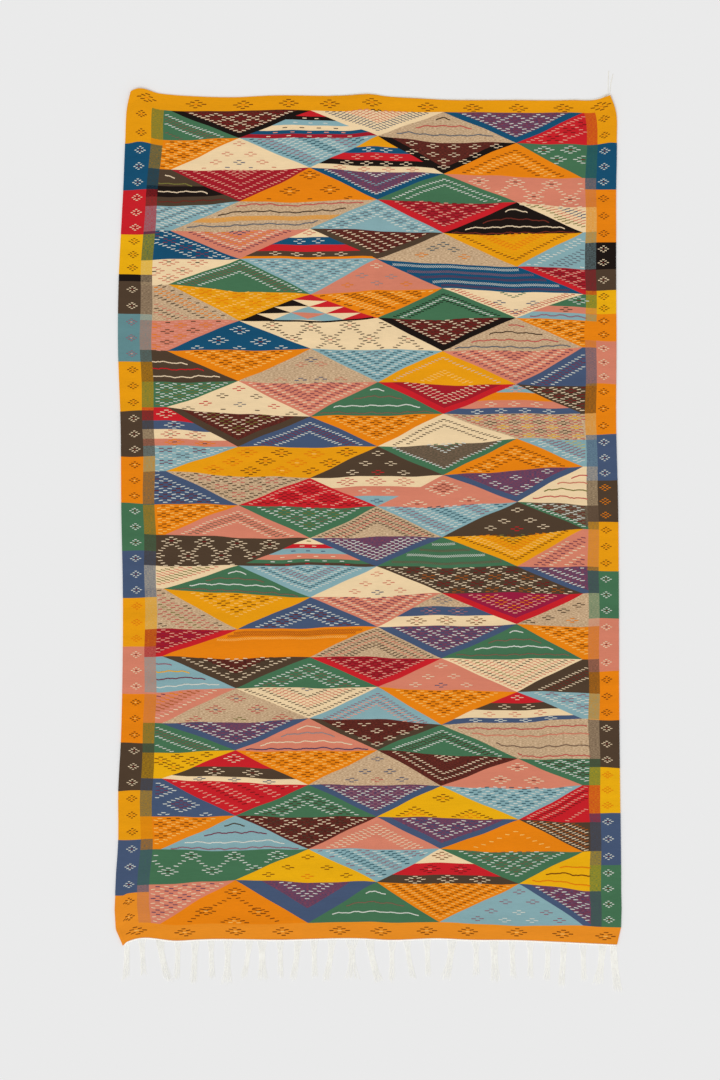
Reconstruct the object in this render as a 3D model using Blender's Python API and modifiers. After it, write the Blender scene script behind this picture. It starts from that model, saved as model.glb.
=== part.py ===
"""A flat-woven Moroccan wool rug, laid flat: the woven cloth, the warp fringe at its lower end and the
twined cord along its upper end. Metres, +X across the rug, +Y from the fringe to the cord, +Z up.
The origin is the middle of the whole thing's box, on the surface that it lies on.
"""

import math
import random

import bmesh
import bpy
import numpy as np
from mathutils import Vector

MM = 0.001

# Cloth
HALF_WIDTH = 0.750
LENGTH = 2.530
THICKNESS = 0.004
PIECE_GAP = 0.0003

# The long edges: how far each stands outside HALF_WIDTH, by distance from the fringed end
SIDE_COLUMNS = ("from_fringe", "left_out", "right_out")
SIDE_MM = (
    (0, -16, -2),
    (40, 2, 8),
    (150, 7, 10),
    (300, -2, 9),
    (450, -2, 7),
    (600, -10, 5),
    (750, -14, 4),
    (1030, -16, 3),
    (1300, -11, 1),
    (1550, -9, -5),
    (1800, -1, -4),
    (2000, -4, -5),
    (2120, -10, -5),
    (2250, -17, -5),
    (2390, -23, -3),
    (2490, -30, -8),
    (2530, -40, -23),
)

# The ends: how far each stands out past LENGTH, by place across the rug
END_COLUMNS = ("across", "out")
FRINGED_END_MM = (
    (-750, 18),
    (-734, 16),
    (-724, 5),
    (-713, 0),
    (-563, 0),
    (-518, -3),
    (-263, -3),
    (4, -6),
    (52, -3),
    (217, -7),
    (307, -3),
    (445, -2),
    (562, 3),
    (748, 12),
)
CORDED_END_MM = (
    (-710, 15),
    (-699, 21),
    (-623, 9),
    (-503, 0),
    (-398, -2),
    (-293, 3),
    (-68, 3),
    (10, 7),
    (52, 1),
    (157, -6),
    (232, -10),
    (412, -11),
    (607, -11),
    (697, -7),
    (716, 0),
    (727, 4),
)

# Where the cloth stands off the surface: a soft fold line down the middle, and two corners
FOLD_ACROSS = 0.022
FOLD_HEIGHT = 0.0025
FOLD_REACH = 0.030
FOLD_FADE = 0.200
CORNER_COLUMNS = ("across", "along", "height", "reach")
LIFTED_CORNERS = (
    (-0.715, 1.285, 0.006, 0.110),
    (0.730, 1.265, 0.004, 0.090),
)

EVEN_COLUMNS = 28
EVEN_ROWS = 23
CLOSE_ACROSS = (-0.728, -0.715, -0.020, 0.007, 0.022, 0.037, 0.064, 0.715, 0.728)
CLOSE_ALONG = (0.005, 0.030, 0.955, 0.980, 0.993)

# Fringe
BACKING_WIDTH = 0.005
BACKING_HEIGHT = 0.003
LOCK_WIDTH = 0.0017
LOCK_HEIGHT = 0.0016
LOCK_ROOT_RISE = 0.0006
WAIST_PITCH = 0.0023
LOCK_ROOT_DEPTH = 0.5  # of the backing's width
LOCK_STATIONS = (0.0, 0.10, 0.30, 0.55, 0.80, 1.0)
LOCK_TIP_SHARE = 0.45
LOCK_UNEVENNESS = 0.10
GATHERED_BY = 0.32
FANS_FROM = 0.5
FRINGE_SEED = 7

# Each bundle of warp ends: where it leaves the cloth, how far its tip leans, its length, how wide it
# is at the cloth and at the tip, and how many locks it holds
BUNDLE_COLUMNS = ("across", "lean", "length", "root_width", "tip_width", "locks")
BUNDLES_MM = (
    (-722, -4, 116, 14, 16, 7),
    (-677, 5, 118, 22, 15, 6),
    (-623, 28, 134, 24, 24, 8),
    (-569, -4, 120, 20, 14, 6),
    (-518, -5, 138, 24, 18, 7),
    (-470, 3, 125, 20, 15, 6),
    (-419, -5, 142, 26, 32, 7),
    (-355, -20, 125, 20, 16, 6),
    (-317, 2, 128, 26, 32, 8),
    (-263, 5, 120, 22, 15, 6),
    (-209, -18, 128, 24, 22, 7),
    (-161, 3, 122, 20, 14, 6),
    (-107, -20, 135, 24, 18, 7),
    (-47, 0, 130, 38, 44, 8),
    (6, 30, 138, 26, 22, 8),
    (73, 0, 132, 22, 16, 6),
    (118, 22, 130, 20, 14, 6),
    (178, 4, 120, 22, 15, 6),
    (253, -20, 128, 28, 32, 8),
    (325, 2, 115, 24, 16, 6),
    (379, 6, 132, 26, 28, 8),
    (433, 4, 122, 20, 15, 6),
    (487, 3, 120, 22, 15, 6),
    (541, -4, 125, 24, 20, 6),
    (588, -8, 138, 20, 16, 7),
    (646, 4, 120, 22, 15, 6),
    (704, -14, 128, 22, 36, 8),
    (737, 16, 146, 18, 26, 9),
)

# Upper end cord, and the loose warp ends at its corner
CORD_START = -0.113
CORD_END = 0.712
CORD_RADIUS = 0.0016
CORD_FLAT = math.cos(math.pi / 6)  # the six-sided section lies on a flat side
CORD_CLEARANCE = 0.0004
CORD_BOW = 0.0010
CORD_BOW_WAVES = 5.0
LOOSE_END_COLUMNS = ("root", "across", "rise", "lean")
LOOSE_ENDS_MM = (
    (6, 721, 68, 2),
    (3, 727, 58, 9),
)
LOOSE_END_RADIUS = 0.0008
LOOSE_END_POINTS = 9
LOOSE_END_TURN = 0.010
LOOSE_TURN_SHARE = 0.25


def column(rows, names, name):
    """One named column of a table, as an array."""
    return np.array([row[names.index(name)] for row in rows], float)


def smooth(places, values, at):
    """A smooth curve through a table's points, held level past its ends."""
    slopes = np.gradient(values, places)
    index = int(np.clip(np.searchsorted(places, at) - 1, 0, len(places) - 2))
    span = places[index + 1] - places[index]
    part = min(max((at - places[index]) / span, 0.0), 1.0)
    rest = 1.0 - part
    return float(
        rest * rest * (1 + 2 * part) * values[index]
        + part * part * (3 - 2 * part) * values[index + 1]
        + part * rest * span * (rest * slopes[index] - part * slopes[index + 1])
    )


def side_edge(name, share):
    """How far a long edge lies from the middle line, at a share of the length."""
    places = column(SIDE_MM, SIDE_COLUMNS, "from_fringe") * MM
    return HALF_WIDTH + smooth(places, column(SIDE_MM, SIDE_COLUMNS, name) * MM, share * LENGTH)


def end_edge(rows, across):
    """How far along the rug an end's edge lies from the middle, at a place across it."""
    places = column(rows, END_COLUMNS, "across") * MM
    return LENGTH / 2 + smooth(places, column(rows, END_COLUMNS, "out") * MM, across)


def on_cloth(side, share):
    """The place of (side, share), side running from -1 to 1 across and share from 0 to 1 along."""
    left = -side_edge("left_out", share)
    right = side_edge("right_out", share)
    across = left + (right - left) * (side + 1) / 2
    near = -end_edge(FRINGED_END_MM, across)
    far = end_edge(CORDED_END_MM, across)
    return across, near + (far - near) * share


def hump(distance, reach):
    """1 at no distance, falling smoothly to 0 at reach."""
    return (0.5 + 0.5 * math.cos(math.pi * distance / reach)) if distance < reach else 0.0


def lift(across, along):
    """How far the cloth's underside stands off the surface."""
    to_end = LENGTH / 2 - abs(along)
    fade = 1.0 - hump(max(to_end, 0.0), FOLD_FADE)
    height = FOLD_HEIGHT * fade * hump(abs(across - FOLD_ACROSS), FOLD_REACH)
    for row in LIFTED_CORNERS:
        corner = dict(zip(CORNER_COLUMNS, row))
        distance = math.hypot(across - corner["across"], along - corner["along"])
        height += corner["height"] * hump(distance, corner["reach"])
    return height


def sides():
    """The grid's places across, close together at the fold and the corners."""
    even = np.linspace(-1.0, 1.0, EVEN_COLUMNS)
    close = np.array(CLOSE_ACROSS) / HALF_WIDTH
    step = even[1] - even[0]
    kept = [side for side in even if abs(side) == 1 or np.abs(close - side).min() > step / 2]
    return sorted([*kept, *close])


def shares():
    """The grid's places along."""
    return sorted([*np.linspace(0.0, 1.0, EVEN_ROWS), *CLOSE_ALONG])


def flat_grid(name, across_count, along_count, place, thickness):
    """A grid whose points place(i, j) gives, made solid upwards."""
    mesh = bpy.data.meshes.new(name)
    work = bmesh.new()
    bmesh.ops.create_grid(work, x_segments=across_count - 1, y_segments=along_count - 1, size=1.0)
    for vertex in work.verts:
        i = round((vertex.co.x + 1) / 2 * (across_count - 1))
        j = round((vertex.co.y + 1) / 2 * (along_count - 1))
        vertex.co = place(i, j)
    work.to_mesh(mesh)
    work.free()
    made = bpy.data.objects.new(name, mesh)
    solid = made.modifiers.new("Thickness", "SOLIDIFY")
    solid.thickness = thickness
    solid.offset = 1.0
    return made


def yarn_material(name, colour, roughness):
    material = bpy.data.materials.new(name)
    material.use_nodes = True
    shader = material.node_tree.nodes["Principled BSDF"]
    shader.inputs["Base Color"].default_value = (*colour, 1.0)
    shader.inputs["Roughness"].default_value = roughness
    shader.inputs["Metallic"].default_value = 0.0
    return material


def finish(made, material, collection, origin):
    """Puts an object in the rug's collection, under its origin, in its own material."""
    made.data.materials.clear()
    made.data.materials.append(material)
    made.data.shade_smooth()
    made.data.set_sharp_from_angle(angle=math.radians(40))
    for owner in list(made.users_collection):
        owner.objects.unlink(made)
    collection.objects.link(made)
    made.parent = origin


def make_cloth():
    columns, rows = sides(), shares()

    def place(i, j):
        across, along = on_cloth(columns[i], rows[j])
        return Vector((across, along, lift(across, along)))

    return flat_grid("rug", len(columns), len(rows), place, THICKNESS)


def make_backing():
    """The narrow strip of warp just past the lower edge, which holds the roots of the fringe."""
    columns = sides()

    def place(i, j):
        across, along = on_cloth(columns[i], 0.0)
        return Vector((across, along - PIECE_GAP - BACKING_WIDTH * j, 0.0))

    return flat_grid("fringe", len(columns), 2, lambda i, j: place(i, 1 - j), BACKING_HEIGHT)


def fringed_edge(across):
    """Where the cloth's lower edge lies, on the straight runs between the grid's columns."""
    places = np.array([on_cloth(side, 0.0) for side in sides()])
    return float(np.interp(across, places[:, 0], places[:, 1]))


def lock_path(bundle, place, rng):
    """The centre line of one lock, from inside the backing to its tip. place runs from -1 to 1 across."""
    waist = WAIST_PITCH * (bundle["locks"] - 1) / 2
    root = bundle["root_width"] * MM / 2
    tip = bundle["tip_width"] * MM / 2
    cut = 1.0 - rng.uniform(0.0, LOCK_UNEVENNESS)
    start = bundle["across"] * MM
    inside = fringed_edge(start + place * root) - PIECE_GAP - BACKING_WIDTH * LOCK_ROOT_DEPTH
    points = []
    for station in LOCK_STATIONS:
        t = station * cut
        gather = hump(t, GATHERED_BY)
        spread = max(0.0, (t - FANS_FROM) / (1.0 - FANS_FROM)) ** 1.5
        half = waist + (root - waist) * gather + (tip - waist) * spread
        lean = bundle["lean"] * MM * t**1.6
        points.append((start + place * half + lean, inside - t * bundle["length"] * MM))
    return points


def add_lock(work, points):
    """A three-sided lock with its flat side on the surface, narrowing to its tip."""
    rings = []
    for k, (across, along) in enumerate(points):
        before = points[max(k - 1, 0)]
        after = points[min(k + 1, len(points) - 1)]
        heading = Vector((after[0] - before[0], after[1] - before[1])).normalized()
        aside = Vector((-heading.y, heading.x))
        share = 1.0 - (1.0 - LOCK_TIP_SHARE) * (k / (len(points) - 1)) ** 2
        base = LOCK_ROOT_RISE if k < 1 else 0.0
        half = LOCK_WIDTH * share / 2
        rings.append(
            [
                work.verts.new((across - aside.x * half, along - aside.y * half, base)),
                work.verts.new((across + aside.x * half, along + aside.y * half, base)),
                work.verts.new((across, along, base + LOCK_HEIGHT * share)),
            ]
        )
    for ring, following in zip(rings, rings[1:]):
        for a in range(3):
            b = (a + 1) % 3
            work.faces.new((ring[a], ring[b], following[b], following[a]))
    work.faces.new(rings[0][::-1])
    work.faces.new(rings[-1])


def make_locks():
    """Every lock of the fringe, in one mesh of separate bodies."""
    rng = random.Random(FRINGE_SEED)
    work = bmesh.new()
    for row in BUNDLES_MM:
        bundle = dict(zip(BUNDLE_COLUMNS, row))
        for k in range(bundle["locks"]):
            place = -1.0 + 2.0 * k / (bundle["locks"] - 1)
            add_lock(work, lock_path(bundle, place, rng))
    bmesh.ops.recalc_face_normals(work, faces=work.faces)
    mesh = bpy.data.meshes.new("fringe_locks")
    work.to_mesh(mesh)
    work.free()
    return bpy.data.objects.new("fringe_locks", mesh)


def hide(helper, collection):
    helper.hide_render = True
    helper.display_type = "WIRE"
    for owner in list(helper.users_collection):
        owner.objects.unlink(helper)
    collection.objects.link(helper)


def join(made, added):
    union = made.modifiers.new("Join", "BOOLEAN")
    union.operation = "UNION"
    union.object = added


def tube(name, points, radii, resolution):
    """A closed round mesh along points, from a curve with filled caps."""
    curve = bpy.data.curves.new(name, "CURVE")
    curve.dimensions = "3D"
    curve.bevel_depth = 1.0
    curve.bevel_resolution = resolution
    curve.use_fill_caps = True
    line = curve.splines.new("POLY")
    line.points.add(len(points) - 1)
    for point, place, radius in zip(line.points, points, radii):
        point.co = (*place, 1.0)
        point.radius = radius
    guide = bpy.data.objects.new(name, curve)
    bpy.context.scene.collection.objects.link(guide)
    bpy.context.view_layer.update()
    evaluated = guide.evaluated_get(bpy.context.evaluated_depsgraph_get())
    mesh = bpy.data.meshes.new_from_object(evaluated)
    bpy.data.objects.remove(guide)
    work = bmesh.new()
    work.from_mesh(mesh)
    bmesh.ops.remove_doubles(work, verts=work.verts, dist=1e-6)
    bmesh.ops.recalc_face_normals(work, faces=work.faces)
    work.to_mesh(mesh)
    work.free()
    return bpy.data.objects.new(name, mesh)


def cord_line():
    """The cord's centre line, on the cloth grid's own places across so that it keeps clear of the edge."""
    points = []
    for side in sides():
        across, along = on_cloth(side, 1.0)
        if CORD_START < across < CORD_END:
            t = (across - CORD_START) / (CORD_END - CORD_START)
            slack = CORD_BOW * math.sin(CORD_BOW_WAVES * math.pi * t) ** 2
            along += CORD_CLEARANCE + CORD_RADIUS + slack
            points.append(Vector((across, along, lift(across, along) + CORD_RADIUS * CORD_FLAT)))
    return points


def make_cord():
    """The twined cord along the upper edge, a plain round tube that touches the surface."""
    points = cord_line()
    return tube("end_cord", points, [CORD_RADIUS] * len(points), 1)


def make_loose_end(row):
    """A warp end that runs out of the cord's end and away from the cloth, along the surface."""
    end = dict(zip(LOOSE_END_COLUMNS, row))
    before, last = cord_line()[-2:]
    start = last.lerp(before, end["root"] * MM / (last - before).length)
    foot = Vector((end["across"] * MM, last.y + LOOSE_END_TURN))
    points = []
    for k in range(LOOSE_END_POINTS):
        t = k / (LOOSE_END_POINTS - 1)
        turn = min(t / LOOSE_TURN_SHARE, 1.0)
        rise = max(t - LOOSE_TURN_SHARE, 0.0) / (1.0 - LOOSE_TURN_SHARE)
        place = start.xy.lerp(foot, turn)
        place += Vector((end["lean"] * MM * rise**2, end["rise"] * MM * rise))
        level = lift(place.x, place.y) * (1.0 - rise) + LOOSE_END_RADIUS
        points.append((place.x, place.y, start.z + (level - start.z) * turn))
    return tube("loose_end", points, [LOOSE_END_RADIUS] * len(points), 0)


def centre_on(origin, pieces):
    """Moves the origin's children so that the box of all pieces is centred over the world's origin."""
    bpy.context.view_layer.update()
    graph = bpy.context.evaluated_depsgraph_get()
    corners = [
        piece.matrix_world @ Vector(corner)
        for piece in pieces
        for corner in piece.evaluated_get(graph).bound_box
    ]
    low = [min(corner[k] for corner in corners) for k in range(3)]
    high = [max(corner[k] for corner in corners) for k in range(3)]
    origin.location = (-(low[0] + high[0]) / 2, -(low[1] + high[1]) / 2, -low[2])


def main():
    for thing in list(bpy.data.objects):
        bpy.data.objects.remove(thing, do_unlink=True)
    scene = bpy.context.scene
    rug_parts = bpy.data.collections.new("moroccan_rug")
    helpers = bpy.data.collections.new("helpers")
    scene.collection.children.link(rug_parts)
    scene.collection.children.link(helpers)
    origin = bpy.data.objects.new("rug_origin", None)
    rug_parts.objects.link(origin)

    wool = yarn_material("woven_wool", (0.52, 0.24, 0.06), 0.95)
    warp = yarn_material("warp_yarn", (0.82, 0.78, 0.68), 0.95)
    twined = yarn_material("twined_warp", (0.85, 0.82, 0.74), 0.95)

    cloth = make_cloth()
    fringe = make_backing()
    locks = make_locks()
    join(fringe, locks)
    cord = make_cord()
    loose_ends = [make_loose_end(row) for row in LOOSE_ENDS_MM]
    for loose_end in loose_ends:
        join(cord, loose_end)

    finish(cloth, wool, rug_parts, origin)
    finish(fringe, warp, rug_parts, origin)
    finish(cord, twined, rug_parts, origin)
    for helper in (locks, *loose_ends):
        hide(helper, helpers)
        helper.parent = origin
    centre_on(origin, (cloth, fringe, cord))


main()
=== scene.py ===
"""The Moroccan rug as it is seen: the flat-woven ground in its dyed yarns, the raised brocade floats over
it, the warp fringe and the twined end cord. The plain solids give its size and place.
"""

import math
import random

import bpy
import numpy as np
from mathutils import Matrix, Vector
from mathutils.geometry import delaunay_2d_cdt


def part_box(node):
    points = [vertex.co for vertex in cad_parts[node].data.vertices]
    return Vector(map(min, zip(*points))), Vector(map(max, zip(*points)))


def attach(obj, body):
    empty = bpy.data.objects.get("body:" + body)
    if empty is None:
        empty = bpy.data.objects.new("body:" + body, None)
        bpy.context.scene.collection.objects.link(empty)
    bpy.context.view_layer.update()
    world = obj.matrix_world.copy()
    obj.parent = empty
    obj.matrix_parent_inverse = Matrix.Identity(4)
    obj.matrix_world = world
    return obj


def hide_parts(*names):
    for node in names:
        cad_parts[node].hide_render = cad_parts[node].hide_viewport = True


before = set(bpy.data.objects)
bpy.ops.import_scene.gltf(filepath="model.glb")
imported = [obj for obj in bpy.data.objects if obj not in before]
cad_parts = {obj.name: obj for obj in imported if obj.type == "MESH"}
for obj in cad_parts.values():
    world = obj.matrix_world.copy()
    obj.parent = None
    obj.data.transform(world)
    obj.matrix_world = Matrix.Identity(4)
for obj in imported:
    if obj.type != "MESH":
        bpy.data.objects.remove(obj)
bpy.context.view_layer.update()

MM = 0.001

# Cloth, as its solid is made
HALF_WIDTH = 0.750
LENGTH = 2.530
THICKNESS = 0.004
PIECE_GAP = 0.0003
HALF_MM = HALF_WIDTH / MM
LENGTH_MM = LENGTH / MM

# The long edges: how far each stands outside HALF_WIDTH, by distance from the fringed end
SIDE_COLUMNS = ("from_fringe", "left_out", "right_out")
SIDE_MM = (
    (0, -16, -2),
    (40, 2, 8),
    (150, 7, 10),
    (300, -2, 9),
    (450, -2, 7),
    (600, -10, 5),
    (750, -14, 4),
    (1030, -16, 3),
    (1300, -11, 1),
    (1550, -9, -5),
    (1800, -1, -4),
    (2000, -4, -5),
    (2120, -10, -5),
    (2250, -17, -5),
    (2390, -23, -3),
    (2490, -30, -8),
    (2530, -40, -23),
)

# The ends: how far each stands out past LENGTH, by place across the rug
END_COLUMNS = ("across", "out")
FRINGED_END_MM = (
    (-750, 18),
    (-734, 16),
    (-724, 5),
    (-713, 0),
    (-563, 0),
    (-518, -3),
    (-263, -3),
    (4, -6),
    (52, -3),
    (217, -7),
    (307, -3),
    (445, -2),
    (562, 3),
    (748, 12),
)
CORDED_END_MM = (
    (-710, 15),
    (-699, 21),
    (-623, 9),
    (-503, 0),
    (-398, -2),
    (-293, 3),
    (-68, 3),
    (10, 7),
    (52, 1),
    (157, -6),
    (232, -10),
    (412, -11),
    (607, -11),
    (697, -7),
    (716, 0),
    (727, 4),
)

# Where the cloth stands off the surface: a soft fold line down the middle, and two corners
FOLD_ACROSS = 0.022
FOLD_HEIGHT = 0.0025
FOLD_REACH = 0.030
FOLD_FADE = 0.200
CORNER_COLUMNS = ("across", "along", "height", "reach")
LIFTED_CORNERS = (
    (-0.715, 1.285, 0.006, 0.110),
    (0.730, 1.265, 0.004, 0.090),
)
END_REACH = 0.300
RIM_POINTS = 400
SETTLING_ROUNDS = 12
GUIDE_COLUMNS = 60
GUIDE_ROWS = 50
FOLD_GUIDES_MM = (-14, -4, 6, 14, 22, 30, 38, 48, 58)
CORNER_GUIDES_ACROSS_MM = (*range(-740, -600, 13), *range(642, 746, 13))
CORNER_GUIDES_ALONG_MM = range(2396, 2524, 12)

# Dyed yarns, by the letter that the drafts below use
YARNS = {
    "i": ("ivory", (238, 210, 166)),
    "x": ("natural", (234, 211, 177)),
    "X": ("white", (214, 216, 206)),
    "p": ("pink", (230, 158, 138)),
    "q": ("rose", (196, 92, 82)),
    "a": ("salmon", (212, 128, 103)),
    "r": ("red", (198, 32, 40)),
    "c": ("crimson", (160, 28, 40)),
    "M": ("magenta", (150, 28, 62)),
    "z": ("dark_red", (124, 28, 30)),
    "m": ("maroon", (112, 46, 36)),
    "b": ("brown", (78, 61, 46)),
    "B": ("umber", (118, 64, 16)),
    "R": ("rust", (172, 92, 32)),
    "T": ("taupe", (124, 100, 80)),
    "k": ("black", (28, 20, 17)),
    "g": ("green", (68, 112, 80)),
    "w": ("olive", (124, 118, 60)),
    "d": ("teal", (46, 84, 96)),
    "t": ("petrol", (22, 78, 110)),
    "n": ("navy", (69, 85, 114)),
    "l": ("light_blue", (133, 169, 174)),
    "j": ("sea_blue", (98, 138, 142)),
    "e": ("grey", (150, 138, 138)),
    "E": ("slate", (100, 104, 112)),
    "u": ("purple", (74, 66, 96)),
    "v": ("mauve", (150, 104, 116)),
    "V": ("plum", (118, 58, 78)),
    "o": ("orange", (231, 130, 16)),
    "O": ("amber", (232, 141, 36)),
    "s": ("saffron", (231, 154, 16)),
    "f": ("straw", (250, 196, 100)),
    "y": ("yellow", (233, 172, 16)),
    "W": ("wheat", (190, 180, 116)),
    "h": ("camel", (219, 190, 153)),
}
# Yarns spun from two colours, with the second one
HEATHERED = {
    "h": (172, 140, 107),
    "u": (136, 66, 84),
    "m": (66, 32, 27),
    "T": (82, 74, 58),
}

# How deep two yarns look where they mix, 1 being their plain mean, and how far a strip where they
# interlock darkens
YARN_DEPTH = 3.0
INTERLOCK_SHADE = 0.1
WARP_COLOUR = (254, 253, 247)
CORD_COLOUR = (236, 232, 220)

# The weave's own pitches, in metres
RIB_PITCH = 0.0031
PICK_PITCH = 0.0019

# How finely each unevenness changes across the rug and along it, in times a metre
STREAKS = (160.0, 800.0)
FLECKS = (130.0, 700.0)
GROUND_DYEING = (3.0, 26.0)
GROUND_SPINNING = (40.0, 330.0)
GROUND_GRAIN = (330.0, 900.0)
FLOAT_DYEING = (8.0, 60.0)
FLOAT_FIBRES = (300.0, 1500.0)
WARP_FIBRES = (900.0, 900.0)
WARP_SOIL = (30.0, 30.0)
WOOL_ROUGHNESS = 0.93
YARN_ROUGHNESS = 0.9
WOOL_SPECULAR = 0.06

# The beat's unevenness, how far in from the rim it is full, and the lengths that it changes over
BEAT_UNEVEN = 1.9
BEAT_FADE = 90
SIDEWAYS_LENGTHS = (37, 110)
LENGTHWAYS_LENGTHS = (43, 97)
SHORT_LENGTHS = (19, 61)
SHORT_SHARE = 0.4

# Ground: how wide the border is at each side, and how far in the field begins, by distance from the
# fringed end
WIDTH_COLUMNS = ("from_fringe", "border", "field")
LEFT_WIDTHS_MM = (
    (0, 66, 102),
    (2120, 67, 102),
    (2230, 71, 106),
    (2330, 75, 109),
    (2410, 78, 115),
    (2530, 79, 116),
)
RIGHT_WIDTHS_MM = (
    (0, 59, 92),
    (2530, 60, 93),
)

# The seven posts, where the points of the triangles meet, at three distances from the fringed end
POST_PLACES_MM = (50, 1300, 2488)
POSTS_MM = (
    (-625, -608, -588),
    (-400, -388, -383),
    (-178, -172, -172),
    (29, 29, 29),
    (215, 225, 226),
    (453, 447, 446),
    (645, 645, 645),
)

# The lines between the bands, from the corded end: distance from the fringed end at each post
LINES_MM = (
    (2488, 2488, 2488, 2487, 2484, 2482, 2481),
    (2400, 2406, 2404, 2412, 2392, 2392, 2384),
    (2312, 2307, 2316, 2304, 2300, 2288, 2284),
    (2200, 2214, 2214, 2223, 2209, 2211, 2197),
    (2126, 2126, 2135, 2128, 2119, 2115, 2124),
    (2041, 2044, 2043, 2043, 2027, 2020, 2014),
    (1966, 1946, 1938, 1948, 1955, 1944, 1938),
    (1860, 1860, 1851, 1864, 1861, 1869, 1857),
    (1770, 1769, 1772, 1771, 1769, 1767, 1776),
    (1674, 1675, 1669, 1676, 1665, 1666, 1661),
    (1597, 1577, 1572, 1574, 1578, 1578, 1580),
    (1483, 1481, 1478, 1481, 1484, 1504, 1502),
    (1407, 1391, 1387, 1391, 1394, 1409, 1422),
    (1309, 1306, 1296, 1300, 1298, 1316, 1305),
    (1218, 1207, 1205, 1210, 1211, 1212, 1233),
    (1123, 1123, 1124, 1122, 1118, 1122, 1119),
    (1054, 1039, 1028, 1029, 1042, 1042, 1039),
    (933, 932, 937, 942, 942, 946, 941),
    (851, 843, 852, 849, 844, 843, 845),
    (745, 758, 757, 758, 750, 747, 742),
    (653, 653, 664, 663, 648, 654, 664),
    (563, 569, 567, 571, 557, 545, 543),
    (485, 473, 466, 466, 464, 452, 464),
    (370, 373, 369, 372, 367, 361, 354),
    (272, 269, 275, 273, 273, 263, 268),
    (167, 182, 174, 175, 170, 170, 150),
    (51, 49, 52, 54, 56, 44, 44),
)

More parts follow.
